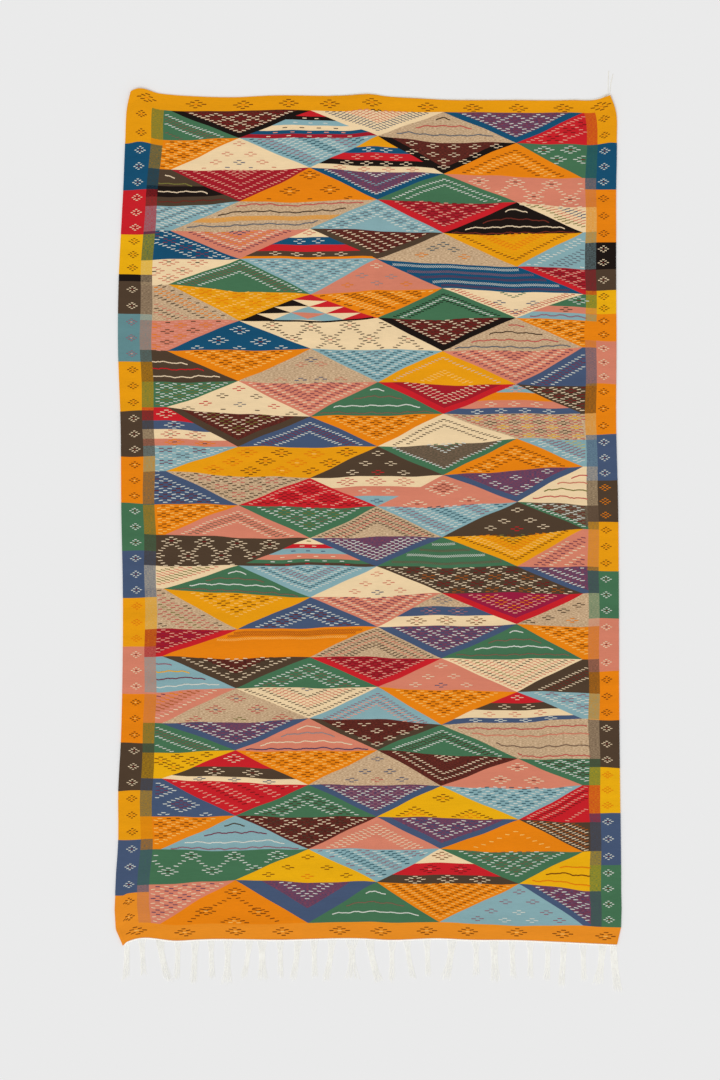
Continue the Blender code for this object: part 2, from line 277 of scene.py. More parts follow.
# The draft. One row a band, from the corded end, and one cell a triangle, from the left. A cell says
# its ground (edge/inner ground where it has both), its motif and that motif's yarns; "=" runs on from
# the cell before it.
BANDS = (
    (
        "g chevrons ..XTTX..T",
        "k/m lattice xz",
        "stripes r:22 k-x2:36 l-X3:55 i-b4:73 t-p5:86 c-x5:100",
        "i chevrons ..EEEaaaakkk",
        "h waves b17 q45 E75",
        "t/u lattice XV",
        "r lattice pz 1 4 5",
    ),
    (
        "o lattice fB 1",
        "i eyes 72 18:a 50:aa 75:ana 97:anna",
        "l falling ddvvXXXddXXvvddX 0.5",
        "stripes s:29 t*X2:46 r*p3:67 k*x4:84 i*a4:100",
        "k/m eyes 65 12:xxxxxx 38:xxxx 58:xxx 78:x",
        "o chevrons ..BffB 17",
        "g lozenges Xz 80 17:4 45:3",
    ),
    (
        "stripes b~x:30 b~w:45 k~x:75 b~m:100",
        "c chevrons .p.p.p.ppp",
        "o lozenges Bf 124 22:1 65:2 102:3",
        "t/u chevrons ..X..l..X",
        "g chevrons ..X.X",
        "a net xb 112@442 20 72 124",
        "=",
    ),
    (
        "l rising XXE",
        "stripes h~q:20 h~b:50 h/o:66 h~E:94 h:100",
        "=",
        "l lattice XE 1 3 4",
        "r/c lattice pz",
        "k waves x22 m52 x76 m95",
        "i falling .wwaanna.",
    ),
    (
        "t lattice XV 1 4 5",
        "a chevrons ..Vxoxouuu 17",
        "stripes i*a1:27 t*X2:52 r:74 b*x4:92 o:100",
        "b/m falling x. 1.3",
        "h eyes 64 38:d 52:dd 73:o.o",
        "s chevrons ..Byyooyyoo",
        "l rising .XX.EEE",
    ),
    (
        "i lozenges ak 85 12:5 45:4 75:1",
        "g chevrons .XTTX",
        "l lattice XE 1",
        "a eyes 90 22:x 53:ee 78:oeo",
        "t chains X12 v33 V52 X72 V88",
        "=",
        "r/c lattice pz",
    ),
    (
        "h falling .boob.aba",
        "s lattice fo 1 4",
        "l patchwork r kir kilir kilalir",
        "o falling BBff 1",
        "g chevrons ..kXk",
        "i chevrons .qa.....g.g + eyes 100 42:nn 75:n",
        "stripes g@Xm1:50 a*b1:74 l~v:100",
    ),
    (
        "a lattice pbo 1",
        "t lozenges Xm 125 32:1 69:2 99:3",
        "i net ba 117@-168 15 63 111",
        "=",
        "k/m lattice xz",
        "h waves q18 b44 q68 E89",
        "o lattice fB 1",
    ),
    (
        "b waves x36 r58 x82",
        "o lattice fB 2",
        "h eyes 60 32:n 45:aa 90:anna",
        "l chevrons .dXdXdXEEE 17",
        "s chevrons ..h...ff",
        "a chevrons .VxVxxVVx 17",
        "n chevrons ..XVVX",
    ),
    (
        "g lattice Xw 1",
        "i eyes 104 23:r 45:bb 71:rEr 94:bbbb",
        "a chevrons .xVxVVxVx 17",
        "g waves X18 T43 X70 T92",
        "r/c chevrons ...xpx 17",
        "stripes l@pV1:27 o:54 a*x3:79 n*X4:100",
        "b lattice xz 1",
    ),
    (
        "stripes r@xm1:34 n@Xm1:57 i@qb2:82 a@ob2:100",
        "b/m lattice xw 3 3 6",
        "n chevrons ..XVVX",
        "o lattice fB 2",
        "i chevrons ..b.b",
        "h lattice qby 1",
        "=",
    ),
    (
        "l lattice XVE 1 4",
        (
            "s row 20 oB:-366 Bo:-263 of:-166 Bo:-68 + row 50 oB:-411 Bo:-311 of:-216 Bo:-118 "
            "+ row 79 oB:-471 Bo:-358 of:-261 Bo:-168"
        ),
        "=",
        "b eyes 76 23:x 57:xx 87:xrx",
        "g/T chevrons ..X....XgX",
        "o lattice Bf 2 3 5",
        "l falling .XXvvvWWl",
    ),
    (
        "n lattice Xm 2 3 8",
        "h lattice bq 1 4",
        "r lattice pz 1 5",
        "stripes i@qa3:33 a*x:65 l*n:100",
        "a lozenges xm4 155 40:1 99:2",
        "n/u eyes 64 10:X..X 22:X 34:X.X 52:XX 70:X",
        "i waves q22 a41 w61 q82",
    ),
    (
        "o lattice fB 1",
        "a chevrons ..xTTx",
        "g lattice XwT",
        "h chevrons .bqbqb",
        "l falling XXvvXXddXXvvXXdd 0.5",
        "b eyes 78 23:x 54:xx 77:xrx",
        "g/T lattice Xm 1",
    ),
    (
        "b net xz 100@-402 19 66 113",
        "=",
        "stripes i-w1:23 r-x2:38 l-n3:58 a-x4:77 g-X5:90 b-r5:100",
        "n/u lattice XX 2 3 5",
        "g chains X23 T44 X62 T86",
        "s chevrons ..BffooBwB",
        "a rising .xVVx",
    ),
    (
        "i rising ..awwaaw 0.6",
        "g waves X20 T47 X69 T91",
        "l chevrons ..XdXvvXdXX",
        "i eyes 70 24:a 54:aa 82:ana",
        "b lattice xzR 1 4",
        "=",
        "n/u chevrons ..X.X.X.X 17",
    ),
    (
        "h falling .bqqwqq.b",
        "s lattice fB 3",
        "n lattice Xm 2 3 5",
        "a chevrons .xVxVVxVx 17",
        "stripes h@Ev1:41 n@vp2:68 i@Ba3:100",
        "r/M lattice po 3 3 6",
        "h row 34 b.1:627 + row 51 b.1:582 + row 75 b.1:537 + row 80 o.1:609 + row 93 b.1:479",
    ),
    (
        "r/c lattice pM 2",
        "o chains R12 R21 f33",
        "=",
        "h chevrons .bababb",
        "n/u lattice Xn 2",
        "g waves X17 T44 X64 T87",
        "o lattice fB 2",
    ),
    (
        "l waves v19 y42 V63 X84",
        "b/m4 lattice xb 2 3 5 + chevrons .......xx 17",
        "g lattice XT 2 3 5",
        "r/c lattice pz 2",
        "a eyes 78 23:x 57:xx 84:xnx",
        "i chevrons .abawaabawaa",
        "b chevrons ...xmmx",
    ),
    (
        "a rising ..xpRRooVn 0.6",
        "h lozenges qn 128 29:1 62:2 + row 95 qq:-528 wy:-396 qq:-266",
        "i chevrons .b.baaab.n",
        "l chevrons ..vpvp",
        "o lattice fB 2",
        "stripes r*x1:37 b*x2:60 i*a3:85 n*X4:100",
        "l lattice Xv 2 4",
    ),
    (
        "g chevrons ..XTTX..X",
        "n/u lattice Xn 2 3 5",
        "a waves x23 e45 x71 u93",
        "b/m eyes 78 14:xxxx 38:xxx 60:xx 80:x",
        "g chevrons ..XbbX",
        "h waves q17 a37 T67 q92",
        "=",
    ),
    (
        "y row 13 B.1:-578 B.1:-488 + row 31 Bo:-533 Bo:-628 + row 52 Bo:-588",
        "stripes r@xm1:52 b@xm2:84 i*n3:100",
        "o lattice fB 1",
        "h eyes 74 25:n 60:nn 84:nqn",
        "m chevrons ..xbx...xxx",
        "a lozenges xm 100 28:1 72:2",
        "g lattice Xb 2",
    ),
    (
        "n row 31 XV4:-632 + row 66 XV4:-561 + row 99 XV:-613 XV:-488",
        "r falling .pp.zpp.z",
        "g lattice Xb 2 3 5",
        "n/u lattice Xv 2",
        "y row 38 Bo:219 + row 99 Bo5:136 Bo5:301",
        "l lattice Xd 1",
        "r chevrons .pzpz..p",
    ),
    (
        "o lattice fB 2",
        "l waves b21 V48 X75 v94",
        "m lattice xb 1 4",
        "a chevrons ..xxx 17",
        "n/u lattice Xn 3 3 6",
        "o chevrons ..f 10",
        "b chevrons .xRxRxRxR",
    ),
    (
        "g net Xb 130@-531 18 64",
        "=",
        "y eyes 117 23:B 55:BB 81:BoB",
        "l falling vvXddX 1",
        "stripes i@Ba1:40 r@zp2:75 b@xm3:100",
        "g lattice XT 2",
        "y waves o40 B61 o85",
    ),
    (
        "a lattice xu 1 3",
        "o row 26 Bf:-396 + chevrons ...B 17 + row 71 Bf:-478 Bf:-323 + row 96 Bf3:-396",
        "n/u3 chevrons .....XX 17",
        "g waves X24 T52 X75",
        "o chevrons .fBfBfBfBfB",
        "l eyes 80 19:v 42:vv 67:vXv 87:vXXv",
        "n/u lattice XV 2",
    ),
)

# Side borders, from the corded end: ground, lower end from the fringed end, outline and heart yarns
LEFT_BLOCKS_MM = (
    ("s", 2392, "Bo"),
    ("t", 2250, "Xm"),
    ("r", 2118, "xm"),
    ("y", 1998, "Bo"),
    ("k", 1977, ""),
    ("b", 1878, "xm"),
    ("j", 1734, "vp"),
    ("s", 1588, "Bo"),
    ("b", 1452, "xm"),
    ("o", 1311, "Bf"),
    ("g", 1167, "Xm"),
    ("n", 1027, "Xm"),
    ("s", 882, "oo"),
    ("a", 740, "xm"),
    ("o", 591, "Bf"),
    ("b", 448, "xm"),
    ("s", 303, "Bo"),
    ("n", 147, "Xm"),
    ("O", 51, "Bf"),
)
RIGHT_BLOCKS_MM = (
    ("s", 2386, "Bo"),
    ("t", 2250, "Xm"),
    ("o", 2092, "Bo"),
    ("k", 2012, "xm"),
    ("b", 1950, "xm"),
    ("y", 1880, "Bo"),
    ("o", 1798, "Bf"),
    ("a", 1668, "xm"),
    ("o", 1516, "Bf"),
    ("n", 1380, "Xm"),
    ("b", 1256, "oo"),
    ("s", 1107, "Bo"),
    ("g", 964, "Xm"),
    ("a", 807, "xm"),
    ("o", 662, "Bo"),
    ("b", 518, "xm"),
    ("y", 380, "oo"),
    ("n", 226, "Xm"),
    ("g", 44, "Xm"),
)
# End borders: ground, outline and heart yarns, and where the lozenges lie across the rug
CORDED_BORDER = ("s", "Bo", (-668, -518, -377, -239, -113, 16, 181, 316, 454, 592, 706))
FRINGED_BORDER = ("O", "Bf", (-701, -557, -401, -257, -86, 37, 175, 301, 451, 589, 718))

# Brocade floats. Lengths are in millimetres, and CLEAR is in steps from a cell's edge
ROWS_A_CELL = 17
FINE_ROWS = 20
EDGE_ROWS = 1.6
FLOAT_LENGTH = 16.5
FLOAT_WIDTH = 3.5
FINE_FLOAT_LENGTH = 15.0
FINE_FLOAT_WIDTH = 3.3
FLOAT_SLANT = 2.2
FLOAT_HEIGHT = 0.0010
FLOAT_SUNK = 0.0003
FLOAT_UNEVEN = 0.4
COLUMN_PITCH = 12.0
ROW_PITCH = 5.4
EYE_WIDTH = 3.3
SMALL_PITCHES = (6.6, 4.3)
SMALL_FLOAT = (8.6, 3.5)
SIDE_LOZENGES_INWARD = 8.0
SIDE_LOZENGE_PITCH = 46
MARK_PITCH = 118.0
MARK_SPREAD = 0.86
WAVE_STEP = 6.0
WAVE_RISE = 1.5
WAVE_JITTER = 1.1
WAVE_LENGTH = 52.0
WAVE_WIDTH = 4.6
WAVE_CLEAR = 0.7
WAVE_OVERLAP = 0.16
SECOND_RISE = 0.8
SECOND_LENGTH = 29.0
DROOP = 7.0
DROOP_REACH = 50.0
DROOP_FADE = 30
CHAIN_STEP = 6.4
CHAIN_RISE = 3.4
CHAIN_WIDTH = 1.7
BASE_CLEAR = 0.35
STEPS_PAST = 8
SPAN_PAST = 60
CHEVRON_CLEAR = 0.9
LATTICE_EASE = 0.3
RING_CLEAR = 0.4
MARK_CLEAR = 0.6
NET_CLEAR = 0.9
STRIPE_CLEAR = 0.8
NET_FLOATS_AT = (0.34, 0.5, 0.66)
DASH_PITCH = 72
STRIPE_DIAMOND_SHARE = 0.19
STRIPE_EYE_SHARE = 0.27
PATCHWORK_LINE_AT = 97
PATCHWORK_STEP = 12
PATCHWORK_FLOAT = (16, 6.5)
CLEAR_OF_FIELD_EDGE = 5.0
BROCADE_SEED = 11
# A float's corners: share of its length, share of its half width, and whether it is on the crown
FLOAT_CORNERS = (
    (0.0, 0, 0),
    (0.14, 1, 0),
    (0.86, 1, 0),
    (1.0, 0, 0),
    (0.86, -1, 0),
    (0.14, -1, 0),
    (0.18, 0, 1),
    (0.82, 0, 1),
)
FLOAT_FACES = (
    (0, 5, 6),
    (0, 6, 1),
    (1, 6, 7, 2),
    (2, 7, 3),
    (3, 7, 4),
    (4, 7, 6, 5),
    (0, 1, 2, 3, 4, 5),
)

# Fringe
BACKING_WIDTH = 0.005
WAIST_PITCH = 0.0023
GATHERED_BY = 0.32
FANS_FROM = 0.5
FRINGE_SEED = 7
STRANDS_A_LOCK = 3
STRAND_RADIUS = 0.00052
STRAND_LAY = 0.0007
STRAND_TURNS = 5.0
STRAND_POINTS = 20
STRAND_STRAY = 0.004
STRAND_WAVER = 0.0006
WAVERS = 17
STRAND_THINS_BY = 0.45
TIP_THINS_TO = 0.3
STRAND_RISE = 0.0005
SHORTEST_STRAND = 0.06
SHORTEST_LOCK = 0.10
EDGE_PLY_RADIUS = 0.00095
EDGE_PLY_PITCH = 0.011
EDGE_ROW_PITCH = 0.0022
EDGE_ROW_HEIGHT = 0.0016
EDGE_POINTS = 300
EDGE_REACH = 0.997
PLY_POINTS_A_TURN = 8

# Each bundle of warp ends: where it leaves the cloth, how far its tip leans, its length, how wide it
# is at the cloth and at the tip, and how many locks it holds
BUNDLE_COLUMNS = ("across", "lean", "length", "root_width", "tip_width", "locks")
BUNDLES_MM = (
    (-722, -4, 116, 14, 16, 7),
    (-677, 5, 118, 22, 15, 6),
    (-623, 28, 134, 24, 24, 8),
    (-569, -4, 120, 20, 14, 6),
    (-518, -5, 138, 24, 18, 7),
    (-470, 3, 125, 20, 15, 6),
    (-419, -5, 142, 26, 32, 7),
    (-355, -20, 125, 20, 16, 6),
    (-317, 2, 128, 26, 32, 8),
    (-263, 5, 120, 22, 15, 6),
    (-209, -18, 128, 24, 22, 7),
    (-161, 3, 122, 20, 14, 6),
    (-107, -20, 135, 24, 18, 7),
    (-47, 0, 130, 38, 44, 8),
    (6, 30, 138, 26, 22, 8),
    (73, 0, 132, 22, 16, 6),
    (118, 22, 130, 20, 14, 6),
    (178, 4, 120, 22, 15, 6),
    (253, -20, 128, 28, 32, 8),
    (325, 2, 115, 24, 16, 6),
    (379, 6, 132, 26, 28, 8),
    (433, 4, 122, 20, 15, 6),
    (487, 3, 120, 22, 15, 6),
    (541, -4, 125, 24, 20, 6),
    (588, -8, 138, 20, 16, 7),
    (646, 4, 120, 22, 15, 6),
    (704, -14, 128, 22, 36, 8),
    (737, 16, 146, 18, 26, 9),
)

# Upper end cord, and the loose warp ends at its corner
CORD_START = -0.113
CORD_END = 0.712
CORD_RADIUS = 0.0016
CORD_CLEARANCE = 0.0004
CORD_BOW = 0.0010
CORD_BOW_WAVES = 5.0
CORD_PLY_RADIUS = 0.0009
CORD_PLY_PITCH = 0.009
LOOSE_END_COLUMNS = ("root", "across", "rise", "lean")
LOOSE_ENDS_MM = (
    (6, 721, 68, 2),
    (3, 727, 58, 9),
)
LOOSE_END_RADIUS = 0.0008
LOOSE_END_PITCH = 0.006
LOOSE_END_POINTS = 40
CORD_POINTS = 260
LOOSE_END_TURN = 0.010
LOOSE_TURN_SHARE = 0.25

# Camera, light and floor
VIEW_HEIGHT = 3.24
VIEW_FROM = 7.0
VIEW_ACROSS = -0.023
VIEW_ALONG = -0.0645
FLOOR_SIZE = 14.0
FLOOR_COLOUR = (235, 235, 235)
SKY_STRENGTH = 0.62
SUN_STRENGTH = 1.32
SUN_TILT = 28.0
SUN_TURN = -35.0
SUN_SOFTNESS = 50.0


# ---------------------------------------------------------------- cloth


def column(rows, names, name):
    """One named column of a table, as an array."""
    return np.array([row[names.index(name)] for row in rows], float)


def smooth(places, values, at):
    """A smooth curve through a table's points, held level past its ends."""
    slopes = np.gradient(values, places)
    index = np.clip(np.searchsorted(places, at) - 1, 0, len(places) - 2)
    span = places[index + 1] - places[index]
    part = np.clip((at - places[index]) / span, 0.0, 1.0)
    rest = 1.0 - part
    start = rest * rest * (1 + 2 * part) * values[index]
    end = part * part * (3 - 2 * part) * values[index + 1]
    bend = part * rest * span * (rest * slopes[index] - part * slopes[index + 1])
    return start + end + bend


def side_edge(name, share):
    """How far a long edge lies from the middle line, at a share of the length."""
    places = column(SIDE_MM, SIDE_COLUMNS, "from_fringe") * MM
    return HALF_WIDTH + smooth(places, column(SIDE_MM, SIDE_COLUMNS, name) * MM, share * LENGTH)


def end_edge(rows, across):
    """How far along the rug an end's edge lies from the middle, at a place across it."""
    places = column(rows, END_COLUMNS, "across") * MM
    return LENGTH / 2 + smooth(places, column(rows, END_COLUMNS, "out") * MM, across)


def hump(distance, reach):
    """1 at no distance, falling smoothly to 0 at reach."""
    return 0.5 + 0.5 * np.cos(np.pi * np.minimum(distance / reach, 1.0))


def lift(across, along):
    """How far the cloth's underside stands off the surface."""
    to_end = np.maximum(LENGTH / 2 - np.abs(along), 0.0)
    fade = 1.0 - hump(to_end, FOLD_FADE)
    height = FOLD_HEIGHT * fade * hump(np.abs(across - FOLD_ACROSS), FOLD_REACH)
    for row in LIFTED_CORNERS:
        corner = dict(zip(CORNER_COLUMNS, row))
        distance = np.hypot(across - corner["across"], along - corner["along"])
        height = height + corner["height"] * hump(distance, corner["reach"])
    return height


def end_shift(across, from_fringe):
    """How far the ends' own unevenness moves the cloth along, dying out away from each end."""
    near = end_edge(FRINGED_END_MM, across) - LENGTH / 2
    far = end_edge(CORDED_END_MM, across) - LENGTH / 2
    return far * hump(LENGTH - from_fringe, END_REACH) - near * hump(from_fringe, END_REACH)


def on_cloth(woven):
    """Places on the cloth for woven places in millimetres: across from the middle warp, along from
    the fringed end, as they were on the loom."""
    side = woven[:, 0] * MM / HALF_WIDTH
    share = woven[:, 1] * MM / LENGTH
    left = -side_edge("left_out", share)
    right = side_edge("right_out", share)
    across = left + (right - left) * (side + 1) / 2
    from_fringe = share * LENGTH
    along = from_fringe - LENGTH / 2 + end_shift(across, from_fringe)
    return np.stack([across, along], axis=1)


def woven_place(across_mm, from_fringe_mm):
    """The woven place of a measured place on the finished rug."""
    across = np.array([across_mm * MM])
    measured = from_fringe_mm * MM
    from_fringe = np.array([measured])
    for step in range(SETTLING_ROUNDS):
        from_fringe = measured - end_shift(across, from_fringe)
    share = from_fringe / LENGTH
    left = -side_edge("left_out", share)
    right = side_edge("right_out", share)
    side = 2 * (across - left) / (right - left) - 1
    return Vector((float(side[0]) * HALF_WIDTH / MM, float(from_fringe[0]) / MM))


def shift_to_solid():
    """From the cloth's own middle to the place where its solid lies."""
    rim = np.linspace(0.0, 1.0, RIM_POINTS)
    ones = np.ones_like(rim)
    sides = np.concatenate([-ones, ones, rim * 2 - 1, rim * 2 - 1]) * HALF_WIDTH / MM
    shares = np.concatenate([rim, rim, 0 * ones, ones]) * LENGTH / MM
    places = on_cloth(np.stack([sides, shares], axis=1))
    low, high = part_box("rug")
    middle = (places.min(axis=0) + places.max(axis=0)) / 2
    return np.array([(low.x + high.x) / 2, (low.y + high.y) / 2]) - middle


def beaten(woven):
    """Woven places as an uneven beat leaves them, steadier towards the rim."""
    across = woven[:, 0]
    along = woven[:, 1]
    to_side = np.clip((HALF_MM - np.abs(across)) / BEAT_FADE, 0.0, 1.0)
    to_end = np.clip(np.minimum(along, LENGTH_MM - along) / BEAT_FADE, 0.0, 1.0)
    sideways = np.sin(along / SIDEWAYS_LENGTHS[0] + across / SIDEWAYS_LENGTHS[1])
    long = np.sin(across / LENGTHWAYS_LENGTHS[0] + along / LENGTHWAYS_LENGTHS[1])
    short = np.sin(across / SHORT_LENGTHS[0] + along / SHORT_LENGTHS[1])
    lengthways = long + SHORT_SHARE * short
    return woven + BEAT_UNEVEN * np.stack([sideways * to_side, lengthways * to_end], axis=1)


def laid(woven, rise):
    """World places for woven places in millimetres, rise metres above the cloth's underside."""
    flat = on_cloth(beaten(woven))
    height = lift(flat[:, 0], flat[:, 1]) + rise
    moved = flat + SHIFT
    return np.stack([moved[:, 0], moved[:, 1], height], axis=1)


# ---------------------------------------------------------------- draft


def linear(colour):
    """A dyer's colour card value, 0 to 255, as light."""
    share = np.array(colour, float) / 255
    low = share / 12.92
    high = ((share + 0.055) / 1.055) ** 2.4
    return tuple(float(x) for x in np.where(share <= 0.04045, low, high))


def post_line(line):
    """One line between bands, as woven places at the posts."""
    places = []
    for post, height in zip(POSTS_MM, LINES_MM[line]):
        across = float(np.interp(height, POST_PLACES_MM, post))
        places.append(woven_place(across, height))
    return places


BAND_LINES = [post_line(line) for line in range(len(LINES_MM))]
SHIFT = shift_to_solid()


def edge_at(name, left_side, height):
    """The woven place across of the border's or the field's edge, at a place along."""
    rows = LEFT_WIDTHS_MM if left_side else RIGHT_WIDTHS_MM
    places = column(rows, WIDTH_COLUMNS, "from_fringe")
    width = float(np.interp(height, places, column(rows, WIDTH_COLUMNS, name)))
    return width - HALF_MM if left_side else HALF_MM - width


def edge_place(name, left_side, line):
    """Where a line between bands meets the border's or the field's edge."""
    height = BAND_LINES[line][0 if left_side else -1].y
    return Vector((edge_at(name, left_side, height), height))


def line_height(line, across):
    """How far up a line between bands lies, at a woven place across."""
    places = BAND_LINES[line]
    return float(np.interp(across, [place.x for place in places], [place.y for place in places]))


def clipped(points, keep):
    """The part of a convex outline where keep, a linear function of place, isn't negative."""
    kept = []
    for here, there in zip(points, points[1:] + points[:1]):
        mine = keep(here)
        its = keep(there)
        if mine >= 0:
            kept.append(here)
        if mine * its < 0:
            kept.append(here + (there - here) * (mine / (mine - its)))
    return kept


class Cell:
    """One triangle of the draft. Its stitches lie on a brick grid: at(u, v) is u steps from the
    apex along its left edge and v steps along its right one."""

    def __init__(self, band, place, words, opens_left, opens_right):
        self.band = band
        self.upright = (band % 2 == 0) == (place % 2 == 0)
        self.words = words
        self.opens = (opens_left, opens_right)
        top, bottom = BAND_LINES[band], BAND_LINES[band + 1]
        apexes, bases = (top, bottom) if self.upright else (bottom, top)
        self.apex = apexes[place]
        self.left_half = place == 0
        self.right_half = place == len(POSTS_MM) - 1
        self.left = self.mirrored(bases[1], bases[0]) if self.left_half else bases[place - 1]
        self.right = self.mirrored(bases[-2], bases[-1]) if self.right_half else bases[place + 1]
        self.halves = self.halves_of(band, place, bases)
        self.start = self

    def mirrored(self, base, below):
        """The far base corner that a half cell would have."""
        return Vector((2 * self.apex.x - base.x, 2 * below.y - base.y))

    def halves_of(self, band, place, bases):
        """The cell's two outlines, to either side of its middle post, each of them convex."""
        middle = bases[place]
        left = [self.left]
        right = [self.right]
        if self.left_half or self.right_half:
            high = edge_place("field", self.left_half, band)
            low = edge_place("field", self.left_half, band + 1)
            ends = [high, low] if self.upright else [low, high]
            left = ends if self.left_half else left
            right = ends[::-1] if self.right_half else right
        return [[self.apex, *left, middle], [self.apex, middle, *right]]

    def at(self, u, v, rows=ROWS_A_CELL):
        return self.apex + ((self.left - self.apex) * u + (self.right - self.apex) * v) / rows

    def steps(self, place, rows=ROWS_A_CELL):
        """(u, v) of a woven place."""
        a = self.left - self.apex
        b = self.right - self.apex
        to = place - self.apex
        area = a.x * b.y - a.y * b.x
        return (to.x * b.y - to.y * b.x) / area * rows, (a.x * to.y - a.y * to.x) / area * rows

    def keeps(self, place, clear, rows=ROWS_A_CELL):
        """Whether a stitch may lie at a place, clear steps from the edges that it doesn't run over."""
        u, v = self.steps(place, rows)
        least_u = 0 if self.opens[1] else clear
        least_v = 0 if self.opens[0] else clear
        if self.left_half:
            least_v = -rows
            if place.x < edge_at("field", True, place.y) + CLEAR_OF_FIELD_EDGE:
                return False
        if self.right_half:
            least_u = -rows
            if place.x > edge_at("field", False, place.y) - CLEAR_OF_FIELD_EDGE:
                return False
        return u >= least_u and v >= least_v and 0 <= u + v <= rows - BASE_CLEAR

    def stitches(self, clear, rows=ROWS_A_CELL):
        """The cell's stitches on the brick grid that it began, or carries on: steps and place."""
        reach = range(-rows - STEPS_PAST, rows + STEPS_PAST)
        for u in reach:
            for v in reach:
                if abs(u + v) <= 2 * rows:
                    place = self.start.at(u, v, rows)
                    if self.keeps(place, clear, rows):
                        yield u, v, place

    def height_at(self, across, percent):
        """How far up the cell a place lies, percent of the way down its band."""
        top = line_height(self.band, across)
        bottom = line_height(self.band + 1, across)
        return top + (bottom - top) * percent / 100

    def holds(self, across, percent, clear):
        """Whether the cell holds a place, clear steps from the edges that it doesn't run over."""
        place = Vector((across, self.height_at(across, percent)))
        u, v = self.steps(place)
        if self.left_half and place.x < edge_at("field", True, place.y):
            return False
        if self.right_half and place.x > edge_at("field", False, place.y):
            return False
        return u >= (0 if self.opens[1] else clear) and v >= (0 if self.opens[0] else clear)

    def span_at(self, percent, step=4.0, clear=0.0):
        """The cell's left and right end, percent of the way down its band, in whole steps."""
        low = math.floor((min(self.left.x, self.apex.x) - SPAN_PAST) / step)
        high = math.ceil((max(self.right.x, self.apex.x) + SPAN_PAST) / step)
        held = [k for k in range(low, high) if self.holds((k + 0.5) * step, percent, clear)]
        if not held:
            return self.apex.x, self.apex.x
        return held[0] * step, (held[-1] + 1) * step

    def band_between(self, outline, above, below):
        """The part of an outline between two levels, in percent of the way down the band."""
        ends = [min(p.x for p in outline), max(p.x for p in outline)]

        def side_of(percent, sign):
            start = Vector((ends[0], self.height_at(ends[0], percent)))
            way = Vector((ends[1], self.height_at(ends[1], percent))) - start
            return lambda p: sign * (way.x * (p.y - start.y) - way.y * (p.x - start.x))

        part = clipped(outline, side_of(above, -1)) if above > 0 else outline
        return clipped(part, side_of(below, 1)) if part and below < 100 else part


def read_cells():
    cells = []
    for band, row in enumerate(BANDS):
        for place, words in enumerate(row):
            own = row[place - 1] if words == "=" else words
            opens_left = words == "="
            opens_right = place + 1 < len(row) and row[place + 1] == "="
            cell = Cell(band, place, own.split(), opens_left, opens_right)
            if opens_left:
                cell.start = cells[-1].start
            cells.append(cell)
    return cells


# ---------------------------------------------------------------- ground


def stripe_list(words):
    """(ground, yarn mixed with it, mark, level where it begins, level where it ends) of each stripe,
    from the top."""
    stripes = []
    above = 0.0
    for word in words:
        head, level = word.split(":")
        ground = head[0]
        mixed = head[2] if head[1:2] == "/" else ground
        mark = head[3:] if head[1:2] == "/" else head[1:]
        stripes.append((ground, mixed, mark, above, float(level)))
        above = float(level)
    return stripes


def striped_regions(cell):
    return [
        (cell.band_between(half, above, below), ground, mixed)
        for ground, mixed, mark, above, below in stripe_list(cell.words[1:])
        for half in cell.halves
    ]


def patched_regions(cell):
    """A cell pieced from small triangles, row by row from its apex."""
    rows = cell.words[2:]
    step = ROWS_A_CELL / len(rows)
    regions = []
    for number, row in enumerate(rows):
        for index, letter in enumerate(row):
            right = index // 2 * step
            left = (number - index // 2) * step
            if index % 2 == 0:
                corners = [(left, right), (left + step, right), (left, right + step)]
            else:
                corners = [(left, right), (left, right + step), (left - step, right + step)]
            regions.append(([cell.at(u, v) for u, v in corners], letter, letter))
    return regions


def edged_regions(cell):
    """A cell with another ground inside its slanted edges."""
    edge, inner = cell.words[0].split("/")
    width = float(inner[1:] or EDGE_ROWS)
    inner = inner[0]
    regions = []
    for half in cell.halves:
        rest = half
        if not cell.left_half:
            regions.append((clipped(rest, lambda p: width - cell.steps(p)[1]), edge, edge))
            rest = clipped(rest, lambda p: cell.steps(p)[1] - width)
        if not cell.right_half and rest:
            regions.append((clipped(rest, lambda p: width - cell.steps(p)[0]), edge, edge))
            rest = clipped(rest, lambda p: cell.steps(p)[0] - width)
        regions.append((rest, inner, inner))
    return regions


def cell_regions(cell):
    """The grounds of one cell, each as an outline, a yarn letter and that of a yarn mixed with it."""
    if cell.words[0] == "stripes":
        return striped_regions(cell)
    if cell.words[1] == "patchwork":
        return patched_regions(cell)
    if "/" in cell.words[0]:
        return edged_regions(cell)
    return [(half, cell.words[0], cell.words[0]) for half in cell.halves]


def side_outline(names, left_side, low, high):
    """A piece of the side between two of the lines that run along the rug."""
    rim = HALF_MM * (-1 if left_side else 1)
    corners = ((names[0], low), (names[1], low), (names[1], high), (names[0], high))
    return [
        Vector((edge_at(name, left_side, height) if name else rim, height)) for name, height in corners
    ]


def edge_grounds(cells, left_side):
    """What the field shows at its edge: (top, bottom, yarn letter) from the corded end."""
    grounds = []
    for cell in cells:
        if cell.left_half if left_side else cell.right_half:
            edge = edge_place("field", left_side, cell.band).x
            if cell.words[0] == "stripes":
                parts = [(a, b, g) for g, mixed, mark, a, b in stripe_list(cell.words[1:])]
            else:
                parts = [(0, 100, cell.words[0].split("/")[-1][0])]
            for above, below, ground in parts:
                grounds.append((cell.height_at(edge, above), cell.height_at(edge, below), ground))
    return grounds


def block_ends(blocks, left_side):
    """(top, bottom, ground, marks) of each border block, in woven places."""
    top = edge_place("border", left_side, 0).y
    placed = []
    for ground, end, marks in blocks:
        across = edge_at("border", left_side, end)
        bottom = woven_place(across, end).y
        placed.append((top, bottom, ground, marks))
        top = bottom
    last = placed[-1]
    placed[-1] = (last[0], edge_place("border", left_side, -1).y, last[2], last[3])
    return placed


